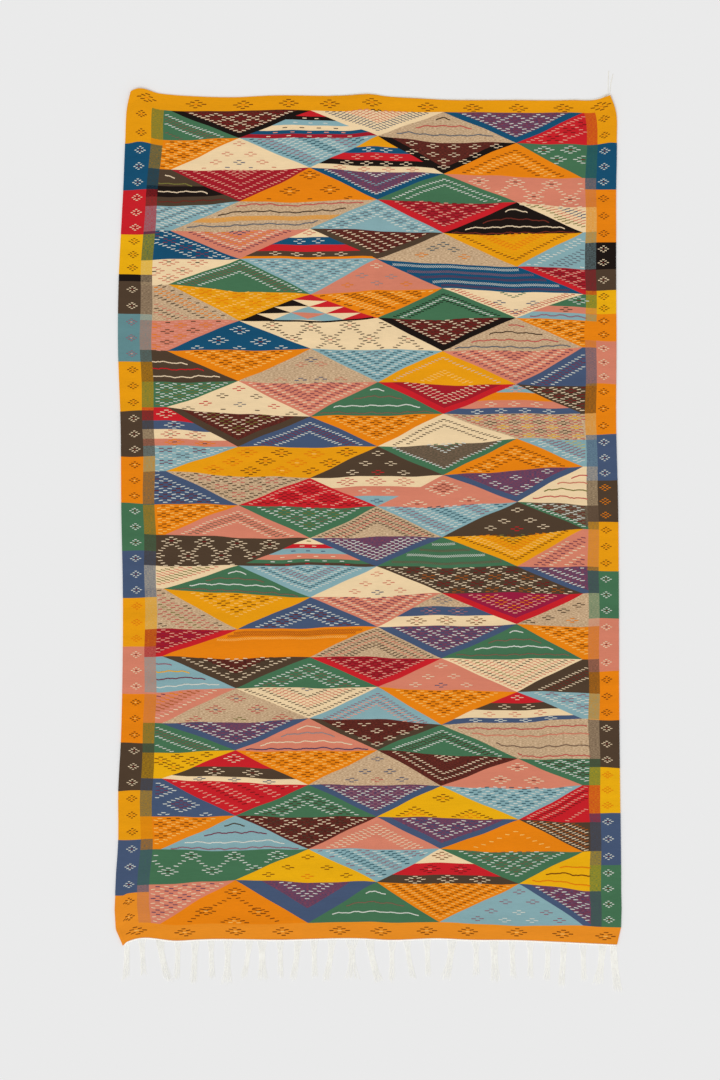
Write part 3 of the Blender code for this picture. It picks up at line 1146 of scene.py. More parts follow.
def side_regions(cells, blocks, left_side):
    """The border blocks down one side, and the strip where their wefts interlock with the field's."""
    regions = []
    for top, bottom, ground, marks in block_ends(blocks, left_side):
        regions.append((side_outline((None, "border"), left_side, bottom, top), ground, ground))
        for high, low, beside in edge_grounds(cells, left_side):
            shared_top = min(top, high)
            shared_bottom = max(bottom, low)
            if shared_top - shared_bottom > 0.05:
                strip = side_outline(("border", "field"), left_side, shared_bottom, shared_top)
                regions.append((strip, ground, beside))
    return regions


def end_border_regions():
    """The borders across both ends, down to the first line between bands and up to the last."""
    regions = []
    for line, ground, rim in ((0, CORDED_BORDER[0], LENGTH_MM), (-1, FRINGED_BORDER[0], 0.0)):
        places = BAND_LINES[line]
        edge = [
            Vector((-HALF_MM, places[0].y)),
            edge_place("border", True, line),
            edge_place("field", True, line),
            *places,
            edge_place("field", False, line),
            edge_place("border", False, line),
            Vector((HALF_MM, places[-1].y)),
        ]
        for here, there in zip(edge, edge[1:]):
            rim_here = Vector((here.x, rim))
            rim_there = Vector((there.x, rim))
            regions.append(([here, there, rim_there, rim_here], ground, ground))
    return regions


def all_regions(cells):
    """Every piece of plain ground: (outline, yarn letter, letter of the yarn it interlocks with)."""
    regions = end_border_regions()
    regions += side_regions(cells, LEFT_BLOCKS_MM, True)
    regions += side_regions(cells, RIGHT_BLOCKS_MM, False)
    for cell in cells:
        regions += cell_regions(cell)
    return [region for region in regions if len(region[0]) > 2]


def guide_lines():
    """Lines along and across, which let the flat faces follow the cloth's shape."""
    lines = []
    even = np.linspace(-HALF_MM, HALF_MM, GUIDE_COLUMNS)[1:-1]
    for place in [*even, *FOLD_GUIDES_MM, *CORNER_GUIDES_ACROSS_MM]:
        lines.append((Vector((place, 0.0)), Vector((place, LENGTH_MM))))
    for place in [*np.linspace(0.0, LENGTH_MM, GUIDE_ROWS)[1:-1], *CORNER_GUIDES_ALONG_MM]:
        lines.append((Vector((-HALF_MM, place)), Vector((HALF_MM, place))))
    return lines


def ground_net(regions):
    """The ground as one flat net of faces, with the region that each face belongs to."""
    points = []
    edges = []
    for outline, ground, beside in regions:
        first = len(points)
        count = len(outline)
        edges += [(first + k, first + (k + 1) % count) for k in range(count)]
        points += outline
    for start, end in guide_lines():
        edges.append((len(points), len(points) + 1))
        points += [start, end]
    places, lines, faces, from_points, from_lines, from_faces = delaunay_2d_cdt(
        points, edges, [], 3, 0.02, False
    )
    woven = np.array([tuple(place) for place in places])
    faces = [list(face) for face in faces]
    return woven, faces, owners_of(woven, faces, regions)


def owners_of(woven, faces, regions):
    """The region that each face lies in, by its middle. Where none holds it, the nearest one."""
    middles = np.array([woven[face].mean(axis=0) for face in faces])
    owners = np.zeros(len(faces), int)
    nearest = np.full(len(faces), -np.inf)
    for index, (outline, ground, beside) in enumerate(regions):
        depth = depth_in(middles, np.array([tuple(place) for place in outline]))
        better = depth > nearest
        owners[better] = index
        nearest[better] = depth[better]
    return owners.tolist()


def depth_in(places, outline):
    """How deep each place lies inside a convex outline, less than 0 outside it."""
    after = np.roll(outline, -1, axis=0)
    area = np.sum(outline[:, 0] * after[:, 1] - outline[:, 1] * after[:, 0])
    turn = 1.0 if area > 0 else -1.0
    depth = np.full(len(places), np.inf)
    for here, there in zip(outline, after):
        way = there - here
        length = np.hypot(way[0], way[1])
        if length > 0.01:
            to = places - here
            depth = np.minimum(depth, turn * (way[0] * to[:, 1] - way[1] * to[:, 0]) / length)
    return depth


def turned_up(woven, face):
    """The face with its corners anticlockwise from above."""
    x = woven[face, 0]
    y = woven[face, 1]
    area = np.dot(x, np.roll(y, -1)) - np.dot(y, np.roll(x, -1))
    return face if area > 0 else face[::-1]


def make_ground(cells):
    """The woven cloth, a closed sheet with the same grounds on both faces."""
    regions = all_regions(cells)
    woven, faces, owners = ground_net(regions)
    faces = [turned_up(woven, face) for face in faces]
    count = len(woven)
    places = np.concatenate([laid(woven, THICKNESS), laid(woven, 0.0)])
    sides = {}
    for index, face in enumerate(faces):
        for a, b in zip(face, face[1:] + face[:1]):
            sides[(a, b)] = index
    rim = [(a, b, index) for (a, b), index in sides.items() if (b, a) not in sides]
    every_face = list(faces)
    every_face += [[corner + count for corner in face[::-1]] for face in faces]
    every_face += [[b, a, a + count, b + count] for a, b, index in rim]
    every_owner = owners + owners + [owners[index] for a, b, index in rim]
    made = mesh_object("woven_ground", places, every_face)
    both = np.concatenate([woven, woven])
    inward = np.concatenate([woven * 0.998 + (0.0, LENGTH_MM * 0.001), woven])
    rim_from = len(every_face) - len(rim)
    write_map(made, both, inward, rim_from)
    write_woven(made, both)
    write_grounds(made, regions, every_owner)
    made.data.shade_flat()
    return made


def write_map(made, woven, inward, rim_from):
    """The flat map that holds the finish: the cloth's own shape, with a little width for its rim."""
    corners = corner_points(made)
    starts = np.zeros(len(made.data.polygons), int)
    made.data.polygons.foreach_get("loop_start", starts)
    places = woven[corners]
    if rim_from < len(starts):
        first = starts[rim_from]
        places[first:] = inward[corners[first:]]
    flat = np.stack([places[:, 0] / HALF_MM / 2 + 0.5, places[:, 1] / LENGTH_MM], axis=1)
    write_flat(made, np.clip(flat, 0.0, 1.0))


def write_woven(made, woven):
    """Each point's place on the loom, in metres, for the weave to follow."""
    layer = made.data.attributes.new("loom_place", "FLOAT_VECTOR", "POINT")
    places = np.stack([woven[:, 0] * MM, woven[:, 1] * MM, 0 * woven[:, 0]], axis=1)
    layer.data.foreach_set("vector", places.astype(np.float32).ravel())


def write_grounds(made, regions, owners):
    """Each face's yarn, the yarn mixed with it, and how they are mixed."""
    values = {"yarn": [], "second_yarn": [], "mixing": []}
    for face, owner in zip(made.data.polygons, owners):
        outline, ground, beside = regions[owner]
        corners = len(face.vertices)
        second = HEATHERED.get(ground, YARNS[ground][1]) if ground == beside else YARNS[beside][1]
        interlocked = 0.0 if ground == beside else 1.0
        heathered = 1.0 if ground == beside and ground in HEATHERED else 0.0
        values["yarn"] += [(*linear(YARNS[ground][1]), 1.0)] * corners
        values["second_yarn"] += [(*linear(second), 1.0)] * corners
        values["mixing"] += [(interlocked, heathered, 0.0, 1.0)] * corners
    for name, rows in values.items():
        layer = made.data.color_attributes.new(name, "FLOAT_COLOR", "CORNER")
        layer.data.foreach_set("color", np.array(rows, np.float32).ravel())


# ---------------------------------------------------------------- brocade


class Brocade:
    """The raised floats, collected by yarn."""

    def __init__(self):
        self.floats = {}
        self.rng = random.Random(BROCADE_SEED)

    def uneven(self, most):
        return self.rng.uniform(-most, most)

    def run(self, yarn, start, end, width):
        self.floats.setdefault(yarn, []).append((*start, *end, width))

    def stitch(self, yarn, place, slant, length=FLOAT_LENGTH, width=FLOAT_WIDTH):
        """One float centred on a place. slant is 1 where it climbs to the right, and -1 to the left."""
        half = length / 2 * (1 + self.uneven(0.1))
        x = place[0] + self.uneven(FLOAT_UNEVEN)
        y = place[1] + self.uneven(FLOAT_UNEVEN)
        climb = FLOAT_SLANT / 2 * slant
        self.run(yarn, (x - half, y - climb), (x + half, y + climb), width * (1 + self.uneven(0.1)))

    def ring(self, cell, place, yarns, size, pitches=(COLUMN_PITCH, ROW_PITCH), shape=()):
        """A diamond of floats, size steps from its middle to each point, round a heart of another
        yarn ("." for none). It is cut off where its cell ends."""
        for i in range(-size, size + 1):
            for j in range(-size, size + 1):
                out = abs(i) + abs(j)
                yarn = yarns[0] if out == size else yarns[1]
                spot = Vector((place[0] + i * pitches[0], place[1] + j * pitches[1]))
                placed = out <= size and (size - out) % 2 == 0 and yarn != "."
                if placed and (cell is None or cell.keeps(spot, RING_CLEAR)):
                    slant = (i * j > 0) - (i * j < 0) if out == size else 0
                    self.stitch(yarn, spot, slant, *shape)


def slant_of(cell, on_u, on_v):
    """Floats lean against the line that they make; on_u says the line keeps u, and on_v keeps v."""
    if on_u == on_v:
        return 0
    return 1 if on_u == cell.upright else -1


def depth_of(cell, u, v):
    """How many lines in from the slanted edges a stitch lies."""
    if cell.left_half:
        return u
    if cell.right_half:
        return v
    return min(u, v)


def chevrons(cell, brocade, chart):
    """Lines along both slanted edges, one letter of the chart a line from the edge inwards."""
    lines = chart[0]
    rows = int(chart[1]) if len(chart) > 1 else FINE_ROWS
    shape = () if len(chart) > 1 else (FINE_FLOAT_LENGTH, FINE_FLOAT_WIDTH)
    for u, v, place in cell.stitches(CHEVRON_CLEAR, rows):
        depth = depth_of(cell, u, v)
        if 0 <= depth < len(lines) and lines[depth] != ".":
            brocade.stitch(lines[depth], place, slant_of(cell, u == depth, v == depth), *shape)


def lattice(cell, brocade, chart):
    """A diamond lattice with a heart of another yarn in each diamond, the hearts' yarns in turn row by
    row. The chart may give how far in its first lines lie, its period, how far in it ends, and how many
    rows the cell has."""
    line, hearts = chart[0][0], chart[0][1:]
    usual = [2, 3, ROWS_A_CELL, ROWS_A_CELL]
    first, period, last, rows = [int(word) for word in chart[1:]] + usual[len(chart) - 1 :]
    for u, v, place in cell.stitches(first - LATTICE_EASE, rows):
        if depth_of(cell, u, v) > last:
            continue
        over = ((u - first) % period, (v - first) % period)
        if 0 in over:
            brocade.stitch(line, place, slant_of(cell.start, over[0] == 0, over[1] == 0))
        elif abs(over[0] - period / 2) + abs(over[1] - period / 2) <= max(1, period / 2 - 0.5):
            row = (u - first) // period + (v - first) // period
            brocade.stitch(hearts[row % len(hearts)], place, 0)


def diagonals(cell, brocade, chart, falls):
    """Parallel lines that fall or rise to the right, one letter of the chart a line, repeated."""
    lines = chart[0]
    clear = float(chart[1]) if len(chart) > 1 else 1.0
    keeps_u = falls == cell.upright
    for u, v, place in cell.stitches(clear):
        letter = lines[(u if keeps_u else v) % len(lines)]
        if letter != ".":
            brocade.stitch(letter, place, 1 if falls else -1)


def falling(cell, brocade, chart):
    diagonals(cell, brocade, chart, True)


def rising(cell, brocade, chart):
    diagonals(cell, brocade, chart, False)


def placed_rows(cell, pitch, count, level):
    """Places spaced evenly about the cell's middle, level percent of the way down, inside it."""
    for k in range(count):
        x = cell.apex.x + (k - (count - 1) / 2) * pitch
        if cell.holds(x, level, MARK_CLEAR):
            yield k, (x, cell.height_at(x, level))


def lozenges(cell, brocade, chart):
    """Diamonds in rows, each row given as its level and how many lie in it."""
    for word in chart[2:]:
        level, count = word.split(":")
        for k, place in placed_rows(cell, float(chart[1]), int(count), float(level)):
            brocade.ring(cell, place, chart[0], int(chart[0][2:] or 2))


def row(cell, brocade, chart):
    """One row of diamonds at a level, each given as its yarns and its place across."""
    for word in chart[1:]:
        yarns, across = word.split(":")
        place = (float(across), cell.height_at(float(across), float(chart[0])))
        brocade.ring(cell, place, yarns, int(yarns[2:] or 2))


def eyes(cell, brocade, chart):
    """Small eyes in rows, each row given as its level and the yarn of each eye."""
    for word in chart[1:]:
        level, letters = word.split(":")
        for k, place in placed_rows(cell, float(chart[0]), len(letters), float(level)):
            brocade.ring(cell, place, letters[k] + ".", 1, shape=(FLOAT_LENGTH, EYE_WIDTH))


def net(cell, brocade, chart):
    """A wide net: lozenges at its knots, in the rows given, and floats along its meshes."""
    pitch, origin = [float(word) for word in chart[1].split("@")]
    levels = [float(word) for word in chart[2:]]
    spots = math.ceil(2 * HALF_MM / pitch)
    for number, level in enumerate(levels):
        for k in range(-spots, spots):
            x = origin + (k + number % 2 / 2) * pitch
            brocade.ring(cell, (x, cell.height_at(x, level)), chart[0], 2)
            if number + 1 == len(levels):
                continue
            for way in (-1, 1):
                for share in NET_FLOATS_AT:
                    at = x + way * share * pitch / 2
                    percent = level + (levels[number + 1] - level) * share
                    if cell.holds(at, percent, NET_CLEAR):
                        brocade.stitch(chart[0][0], (at, cell.height_at(at, percent)), way)


def wave_line(cell, brocade, yarn, percent, step, rise, width, flip=0):
    """One undulating line across the cell, in time with those of the cells beside it. It follows the
    slant of the cell's edges a little near its ends."""
    left, right = cell.span_at(percent, step, WAVE_CLEAR)
    first = round(left / step)
    last = round(right / step)
    from_base = 100 - percent if cell.upright else percent
    droop = DROOP * min(1.0, from_base / DROOP_FADE) * (-1 if cell.upright else 1)
    heights = []
    for k in range(first, last + 1):
        x = k * step
        swing = rise * math.sin(2 * math.pi * x / WAVE_LENGTH) + SECOND_RISE * math.sin(x / SECOND_LENGTH)
        bend = 0.0
        if not cell.opens[0] and not cell.left_half:
            bend = max(0.0, 1 - (x - left) / DROOP_REACH) ** 2
        if not cell.opens[1] and not cell.right_half:
            bend = max(bend, max(0.0, 1 - (right - x) / DROOP_REACH) ** 2)
        twist = rise * flip * (1 if k % 2 else -1)
        moved = twist if flip else swing + droop * bend + brocade.uneven(WAVE_JITTER)
        heights.append(cell.height_at(x, percent) + moved)
    for k in range(first, last):
        start = Vector((k * step, heights[k - first]))
        end = Vector(((k + 1) * step, heights[k + 1 - first]))
        reach = (end - start) * WAVE_OVERLAP
        brocade.run(yarn, start - reach, end + reach, width)


def waves(cell, brocade, chart):
    for word in chart:
        wave_line(cell, brocade, word[0], float(word[1:]), WAVE_STEP, WAVE_RISE, WAVE_WIDTH)


def chains(cell, brocade, chart):
    for word in chart:
        for flip in (1, -1):
            wave_line(cell, brocade, word[0], float(word[1:]), CHAIN_STEP, CHAIN_RISE, CHAIN_WIDTH, flip)


def stripe_marks(cell, brocade, chart):
    """Along each stripe: @yz diamonds, *y eyes, -y dashes or ~y a wavy line, y and z being yarns, with
    their count after them."""
    for ground, mixed, mark, above, below in stripe_list(chart):
        level = (above + below) / 2
        if not mark:
            continue
        if mark[0] == "~":
            wave_line(cell, brocade, mark[1], level, WAVE_STEP, WAVE_RISE, WAVE_WIDTH)
            continue
        left, right = cell.span_at(level, clear=STRIPE_CLEAR)
        height = abs(cell.height_at(cell.apex.x, above) - cell.height_at(cell.apex.x, below))
        count = int(mark[3 if mark[0] == "@" else 2 :] or max(1, (right - left) // DASH_PITCH))
        pitch = min(MARK_PITCH, (right - left) / count * MARK_SPREAD)
        for k in range(count):
            x = (left + right) / 2 + (k - (count - 1) / 2) * pitch
            place = (x, cell.height_at(x, level))
            if mark[0] == "@":
                pitches = (COLUMN_PITCH, min(ROW_PITCH, height * STRIPE_DIAMOND_SHARE))
                brocade.ring(None, place, mark[1:3], 2, pitches, (FLOAT_LENGTH, EYE_WIDTH))
            elif mark[0] == "*":
                pitches = (COLUMN_PITCH, min(ROW_PITCH, height * STRIPE_EYE_SHARE))
                brocade.ring(None, place, mark[1] + ".", 1, pitches, (FLOAT_LENGTH, EYE_WIDTH))
            else:
                brocade.stitch(mark[1], place, 0)


def patchwork_line(cell, brocade, chart):
    """A dark line along the base of a pieced cell."""
    left, right = cell.span_at(PATCHWORK_LINE_AT)
    length, width = PATCHWORK_FLOAT
    x = left
    while x < right - PATCHWORK_STEP:
        start = (x, cell.height_at(x, PATCHWORK_LINE_AT))
        end = (x + length, cell.height_at(x + length, PATCHWORK_LINE_AT))
        brocade.run("k", start, end, width)
        x += PATCHWORK_STEP


MOTIFS = {
    "chevrons": chevrons,
    "lattice": lattice,
    "falling": falling,
    "rising": rising,
    "lozenges": lozenges,
    "row": row,
    "eyes": eyes,
    "net": net,
    "waves": waves,
    "chains": chains,
    "patchwork": patchwork_line,
}


def brocade_side(brocade, blocks, left_side):
    """A column of small lozenges down each border block."""
    for top, bottom, ground, marks in block_ends(blocks, left_side):
        if marks:
            count = max(1, round((top - bottom) / SIDE_LOZENGE_PITCH))
            for k in range(count):
                height = bottom + (top - bottom) * (k + 0.5) / count
                rim = HALF_MM * (-1 if left_side else 1)
                middle = (edge_at("border", left_side, height) + rim) / 2
                middle += SIDE_LOZENGES_INWARD * (1 if left_side else -1)
                brocade.ring(None, (middle, height), marks, 2, SMALL_PITCHES, SMALL_FLOAT)


def brocade_ends(brocade):
    for (ground, marks, places), line, rim in (
        (CORDED_BORDER, 0, LENGTH_MM),
        (FRINGED_BORDER, -1, 0.0),
    ):
        for across in places:
            edge = BAND_LINES[line][0].y
            place = woven_place(across, edge)
            brocade.ring(None, (place.x, (edge + rim) / 2), marks, 2)


def make_brocade(cells):
    brocade = Brocade()
    for cell in cells:
        if cell.words[0] == "stripes":
            stripe_marks(cell, brocade, cell.words[1:])
        else:
            for part in " ".join(cell.words[1:]).split(" + "):
                words = part.split()
                MOTIFS[words[0]](cell, brocade, words[1:])
    brocade_side(brocade, LEFT_BLOCKS_MM, True)
    brocade_side(brocade, RIGHT_BLOCKS_MM, False)
    brocade_ends(brocade)
    return {letter: float_object(letter, rows) for letter, rows in sorted(brocade.floats.items())}


def float_object(letter, rows):
    """All the floats of one yarn as one mesh of small crowned lengths."""
    rows = np.array(rows, float)
    start = rows[:, 0:2]
    way = rows[:, 2:4] - start
    length = np.hypot(way[:, 0], way[:, 1])[:, None]
    aside = np.stack([-way[:, 1], way[:, 0]], axis=1) / length * rows[:, 4:5] / 2
    woven = []
    rises = []
    for share, side, crown in FLOAT_CORNERS:
        woven.append(start + way * share + aside * side)
        rises.append(np.full(len(rows), THICKNESS + (FLOAT_HEIGHT if crown else -FLOAT_SUNK)))
    woven = np.stack(woven, axis=1).reshape(-1, 2)
    rise = np.stack(rises, axis=1).reshape(-1)
    faces = [
        [corner + 8 * k for corner in face] for k in range(len(rows)) for face in FLOAT_FACES
    ]
    made = mesh_object("brocade_" + YARNS[letter][0], laid(woven, rise), faces)
    write_map(made, woven, woven, len(faces))
    write_woven(made, woven)
    made.data.shade_smooth()
    return made


# ---------------------------------------------------------------- mesh helpers


def mesh_object(name, places, faces):
    mesh = bpy.data.meshes.new(name)
    mesh.from_pydata([tuple(place) for place in places], [], faces)
    mesh.update()
    made = bpy.data.objects.new(name, mesh)
    bpy.context.scene.collection.objects.link(made)
    return made


def corner_points(made):
    """The point that each corner of each face lies at."""
    corners = np.zeros(len(made.data.loops), int)
    made.data.loops.foreach_get("vertex_index", corners)
    return corners


def write_flat(made, flat):
    layer = made.data.uv_layers.new(name="OFBake")
    layer.data.foreach_set("uv", flat.astype(np.float32).ravel())


def sides_of(path):
    """The ways to the side of a path and above it, at each of its places."""
    ways = np.gradient(path, axis=0)
    ways /= np.linalg.norm(ways, axis=1)[:, None]
    aside = np.cross(ways, (0.0, 0.0, 1.0))
    aside /= np.linalg.norm(aside, axis=1)[:, None]
    return aside, np.cross(aside, ways)


class Strands:
    """Round lengths of yarn in one mesh."""

    def __init__(self):
        self.places = []
        self.faces = []

    def add(self, path, radii, sides=6):
        """A closed tube along path, an array of places."""
        aside, above = sides_of(path)
        first = len(self.places)
        for place, a, b, radius in zip(path, aside, above, radii):
            for k in range(sides):
                angle = 2 * math.pi * k / sides
                self.places.append(place + radius * (math.cos(angle) * a + math.sin(angle) * b))
        for ring in range(len(path) - 1):
            base = first + ring * sides
            for k in range(sides):
                after = (k + 1) % sides
                self.faces.append([base + k, base + after, base + after + sides, base + k + sides])
        last = first + (len(path) - 1) * sides
        self.faces.append([first + k for k in range(sides)][::-1])
        self.faces.append([last + k for k in range(sides)])

    def ply(self, path, lay, radius, pitch, plies=2):
        """Plies twisted together round path."""
        lengths = np.linalg.norm(np.diff(path, axis=0), axis=1)
        along = np.concatenate([[0.0], np.cumsum(lengths)])
        count = max(int(along[-1] / pitch * PLY_POINTS_A_TURN), 4)
        fine = np.linspace(0.0, along[-1], count)
        middle = np.stack([np.interp(fine, along, path[:, k]) for k in range(3)], axis=1)
        aside, above = sides_of(middle)
        for ply in range(plies):
            angle = (2 * np.pi * (fine / pitch + ply / plies))[:, None]
            twisted = middle + lay * (np.cos(angle) * aside + np.sin(angle) * above)
            self.add(twisted, np.full(count, radius))

    def object(self, name):
        places = np.array(self.places)
        made = mesh_object(name, places, self.faces)
        low = places.min(axis=0)
        size = places.max(axis=0) - low
        write_flat(made, ((places - low) / size)[corner_points(made)][:, :2])
        made.data.shade_smooth()
        return made


# ---------------------------------------------------------------- fringe and cord


def fringed_edge(across):
    """Where the cloth's lower edge lies."""
    return -end_edge(FRINGED_END_MM, across)


def lock_path(bundle, place, rng):
    """The centre line of one lock, as (across, along), from inside the backing to its tip."""
    waist = WAIST_PITCH * (bundle["locks"] - 1) / 2
    root = bundle["root_width"] * MM / 2
    tip = bundle["tip_width"] * MM / 2
    cut = 1.0 - rng.uniform(0.0, SHORTEST_LOCK)
    start = bundle["across"] * MM
    inner = fringed_edge(np.array([start + place * root]))[0] - PIECE_GAP - BACKING_WIDTH / 2
    t = np.linspace(0.0, cut, STRAND_POINTS)
    gather = hump(t, GATHERED_BY)
    spread = np.maximum(0.0, (t - FANS_FROM) / (1.0 - FANS_FROM)) ** 1.5
    half = waist + (root - waist) * gather + (tip - waist) * spread
    lean = bundle["lean"] * MM * t**1.6
    return np.stack([start + place * half + lean, inner - t * bundle["length"] * MM], axis=1)


def add_lock(strands, path, rng):
    """A few strands wound loosely round each other, opening towards their tips."""
    share = np.linspace(0.0, 1.0, len(path))
    turns = STRAND_TURNS * rng.uniform(0.8, 1.2)
    phase = rng.uniform(0.0, 6.28)
    for k in range(STRANDS_A_LOCK):
        angle = phase + 2 * np.pi * (turns * share + k / STRANDS_A_LOCK)
        lay = STRAND_LAY * (1.0 + 1.3 * share**2)
        stray = rng.uniform(-1.0, 1.0) * STRAND_STRAY * share**3
        waver = rng.uniform(0.3, 1.0) * STRAND_WAVER * np.sin(share * WAVERS + rng.uniform(0, 6))
        across = path[:, 0] + lay * np.cos(angle) + stray + waver
        rise = STRAND_RADIUS + STRAND_RISE + STRAND_RISE * np.sin(angle)
        short = 1.0 - rng.uniform(0.0, SHORTEST_STRAND)
        along = path[0, 1] + (path[:, 1] - path[0, 1]) * short
        radii = STRAND_RADIUS * (1.0 - STRAND_THINS_BY * share**3)
        radii[-1] *= TIP_THINS_TO
        strands.add(np.stack([across + SHIFT[0], along + SHIFT[1], rise], axis=1), radii)


def make_fringe():
    """The warp ends below the cloth, in bundles, with the twined edge that holds their roots."""
    rng = random.Random(FRINGE_SEED)
    strands = Strands()
    for row in BUNDLES_MM:
        bundle = dict(zip(BUNDLE_COLUMNS, row))
        for k in range(bundle["locks"]):
            place = -1.0 + 2.0 * k / (bundle["locks"] - 1)
            add_lock(strands, lock_path(bundle, place, rng), rng)
    sides = np.linspace(-EDGE_REACH, EDGE_REACH, EDGE_POINTS) * HALF_MM
    edge = on_cloth(np.stack([sides, 0 * sides], axis=1))
    for row in range(2):
        line = edge - (0.0, PIECE_GAP + EDGE_PLY_RADIUS * 2 + row * EDGE_ROW_PITCH) + SHIFT
        path = np.stack([line[:, 0], line[:, 1], 0 * sides + EDGE_ROW_HEIGHT], axis=1)
        strands.ply(path, EDGE_PLY_RADIUS * 0.6, EDGE_PLY_RADIUS, EDGE_PLY_PITCH)
    return strands.object("warp_fringe")


def cord_line():
    sides = np.linspace(-1.0, 1.0, CORD_POINTS) * HALF_MM
    edge = on_cloth(np.stack([sides, 0 * sides + LENGTH_MM], axis=1))
    edge = edge[(edge[:, 0] > CORD_START) & (edge[:, 0] < CORD_END)]
    t = (edge[:, 0] - CORD_START) / (CORD_END - CORD_START)
    slack = CORD_BOW * np.sin(CORD_BOW_WAVES * np.pi * t) ** 2
    along = edge[:, 1] + CORD_CLEARANCE + CORD_RADIUS + slack
    height = lift(edge[:, 0], along) + CORD_RADIUS
    return np.stack([edge[:, 0], along, height], axis=1)


def loose_end(row):
    """A warp end that runs out of the cord's end and away from the cloth, along the surface."""
    end = dict(zip(LOOSE_END_COLUMNS, row))
    last = cord_line()[-1]
    start = last - (end["root"] * MM, 0.0, 0.0)
    t = np.linspace(0.0, 1.0, LOOSE_END_POINTS)
    turn = np.minimum(t / LOOSE_TURN_SHARE, 1.0)
    rise = np.maximum(t - LOOSE_TURN_SHARE, 0.0) / (1.0 - LOOSE_TURN_SHARE)
    across = start[0] + (end["across"] * MM - start[0]) * turn + end["lean"] * MM * rise**2
    along = last[1] + LOOSE_END_TURN * turn + end["rise"] * MM * rise
    height = start[2] + (LOOSE_END_RADIUS * 1.4 - start[2]) * turn
    return np.stack([across, along, height], axis=1)


def make_cord():
    """The twined cord along the upper edge, two plies twisted, with its loose ends."""
    strands = Strands()
    shift = np.array([SHIFT[0], SHIFT[1], 0.0])
    strands.ply(cord_line() + shift, CORD_RADIUS - CORD_PLY_RADIUS, CORD_PLY_RADIUS, CORD_PLY_PITCH)
    for row in LOOSE_ENDS_MM:
        strands.ply(loose_end(row) + shift, LOOSE_END_RADIUS / 2, LOOSE_END_RADIUS / 2, LOOSE_END_PITCH)
    return strands.object("twined_end_cord")


# ---------------------------------------------------------------- finishes


class Value:
    """A node's output. Arithmetic on it adds the Math nodes."""

    def __init__(self, finish, socket):
        self.finish = finish
        self.socket = socket

    def maths(self, operation, first, second=0.0):
        return self.finish.node("ShaderNodeMath", {"operation": operation}, {0: first, 1: second})

    def __add__(self, other):
        return self.maths("ADD", self, other)

    def __sub__(self, other):
        return self.maths("SUBTRACT", self, other)

    def __mul__(self, other):
        return self.maths("MULTIPLY", self, other)

    def __radd__(self, other):
        return self.maths("ADD", other, self)

    def __rsub__(self, other):
        return self.maths("SUBTRACT", other, self)

    def __rmul__(self, other):
        return self.maths("MULTIPLY", other, self)

    def wave(self):
        return self.maths("SINE", self)


class Finish:
    """A material, with one method that adds any node to it."""

    def __init__(self, name, roughness):
        self.material = bpy.data.materials.new(name)
        self.material.use_nodes = True
        self.tree = self.material.node_tree
        self.shader = self.tree.nodes["Principled BSDF"]
        self.shader.inputs["Roughness"].default_value = roughness
        self.shader.inputs["Specular IOR Level"].default_value = WOOL_SPECULAR

    def node(self, kind, settings=None, inputs=None, output=0):
        made = self.tree.nodes.new(kind)
        for name, value in (settings or {}).items():
            setattr(made, name, value)
        for key, value in (inputs or {}).items():
            if isinstance(value, Value):
                self.tree.links.new(value.socket, made.inputs[key])
            else:
                made.inputs[key].default_value = value
        return Value(self, made.outputs[output])

    def blend(self, share, first, second):
        """Two yarns mixed as the eye mixes their stitches, deeper than their plain mean."""
        eased = [self.node("ShaderNodeGamma", None, {0: c, 1: 1 / YARN_DEPTH}) for c in (first, second)]
        inputs = {0: share, 6: eased[0], 7: eased[1]}
        mixed = self.node("ShaderNodeMix", {"data_type": "RGBA"}, inputs, output=2)
        return self.node("ShaderNodeGamma", None, {0: mixed, 1: YARN_DEPTH})

    def shaded(self, colour, share):
        """A colour made darker or lighter by a share, 1 leaving it as it is."""
        grey = self.node("ShaderNodeCombineColor", None, {0: share, 1: share, 2: share})
        settings = {"data_type": "RGBA", "blend_type": "MULTIPLY"}
        return self.node("ShaderNodeMix", settings, {0: 1.0, 6: colour, 7: grey}, output=2)

    def noise(self, place, times, detail=2.0):
        """Unevenness that changes so many times a metre across the rug and along it."""
        settings = {"operation": "MULTIPLY"}
        scaled = self.node("ShaderNodeVectorMath", settings, {0: place, 1: (*times, 1.0)})
        inputs = {"Vector": scaled, "Scale": 1.0, "Detail": detail}
        return self.node("ShaderNodeTexNoise", None, inputs)

    def bump(self, strength, distance, height):
        inputs = {"Strength": strength, "Distance": distance, "Height": height}
        self.feed("Normal", self.node("ShaderNodeBump", None, inputs))

    def feed(self, socket, value):
        self.tree.links.new(value.socket, self.shader.inputs[socket])


def loom_place(finish):
    return finish.node("ShaderNodeAttribute", {"attribute_name": "loom_place"}, output=1)


def colour_of(finish, name):
    return finish.node("ShaderNodeAttribute", {"attribute_name": name})


def parts(finish, place):
    across = finish.node("ShaderNodeSeparateXYZ", None, {0: place}, output=0)
    along = finish.node("ShaderNodeSeparateXYZ", None, {0: place}, output=1)
    return across, along


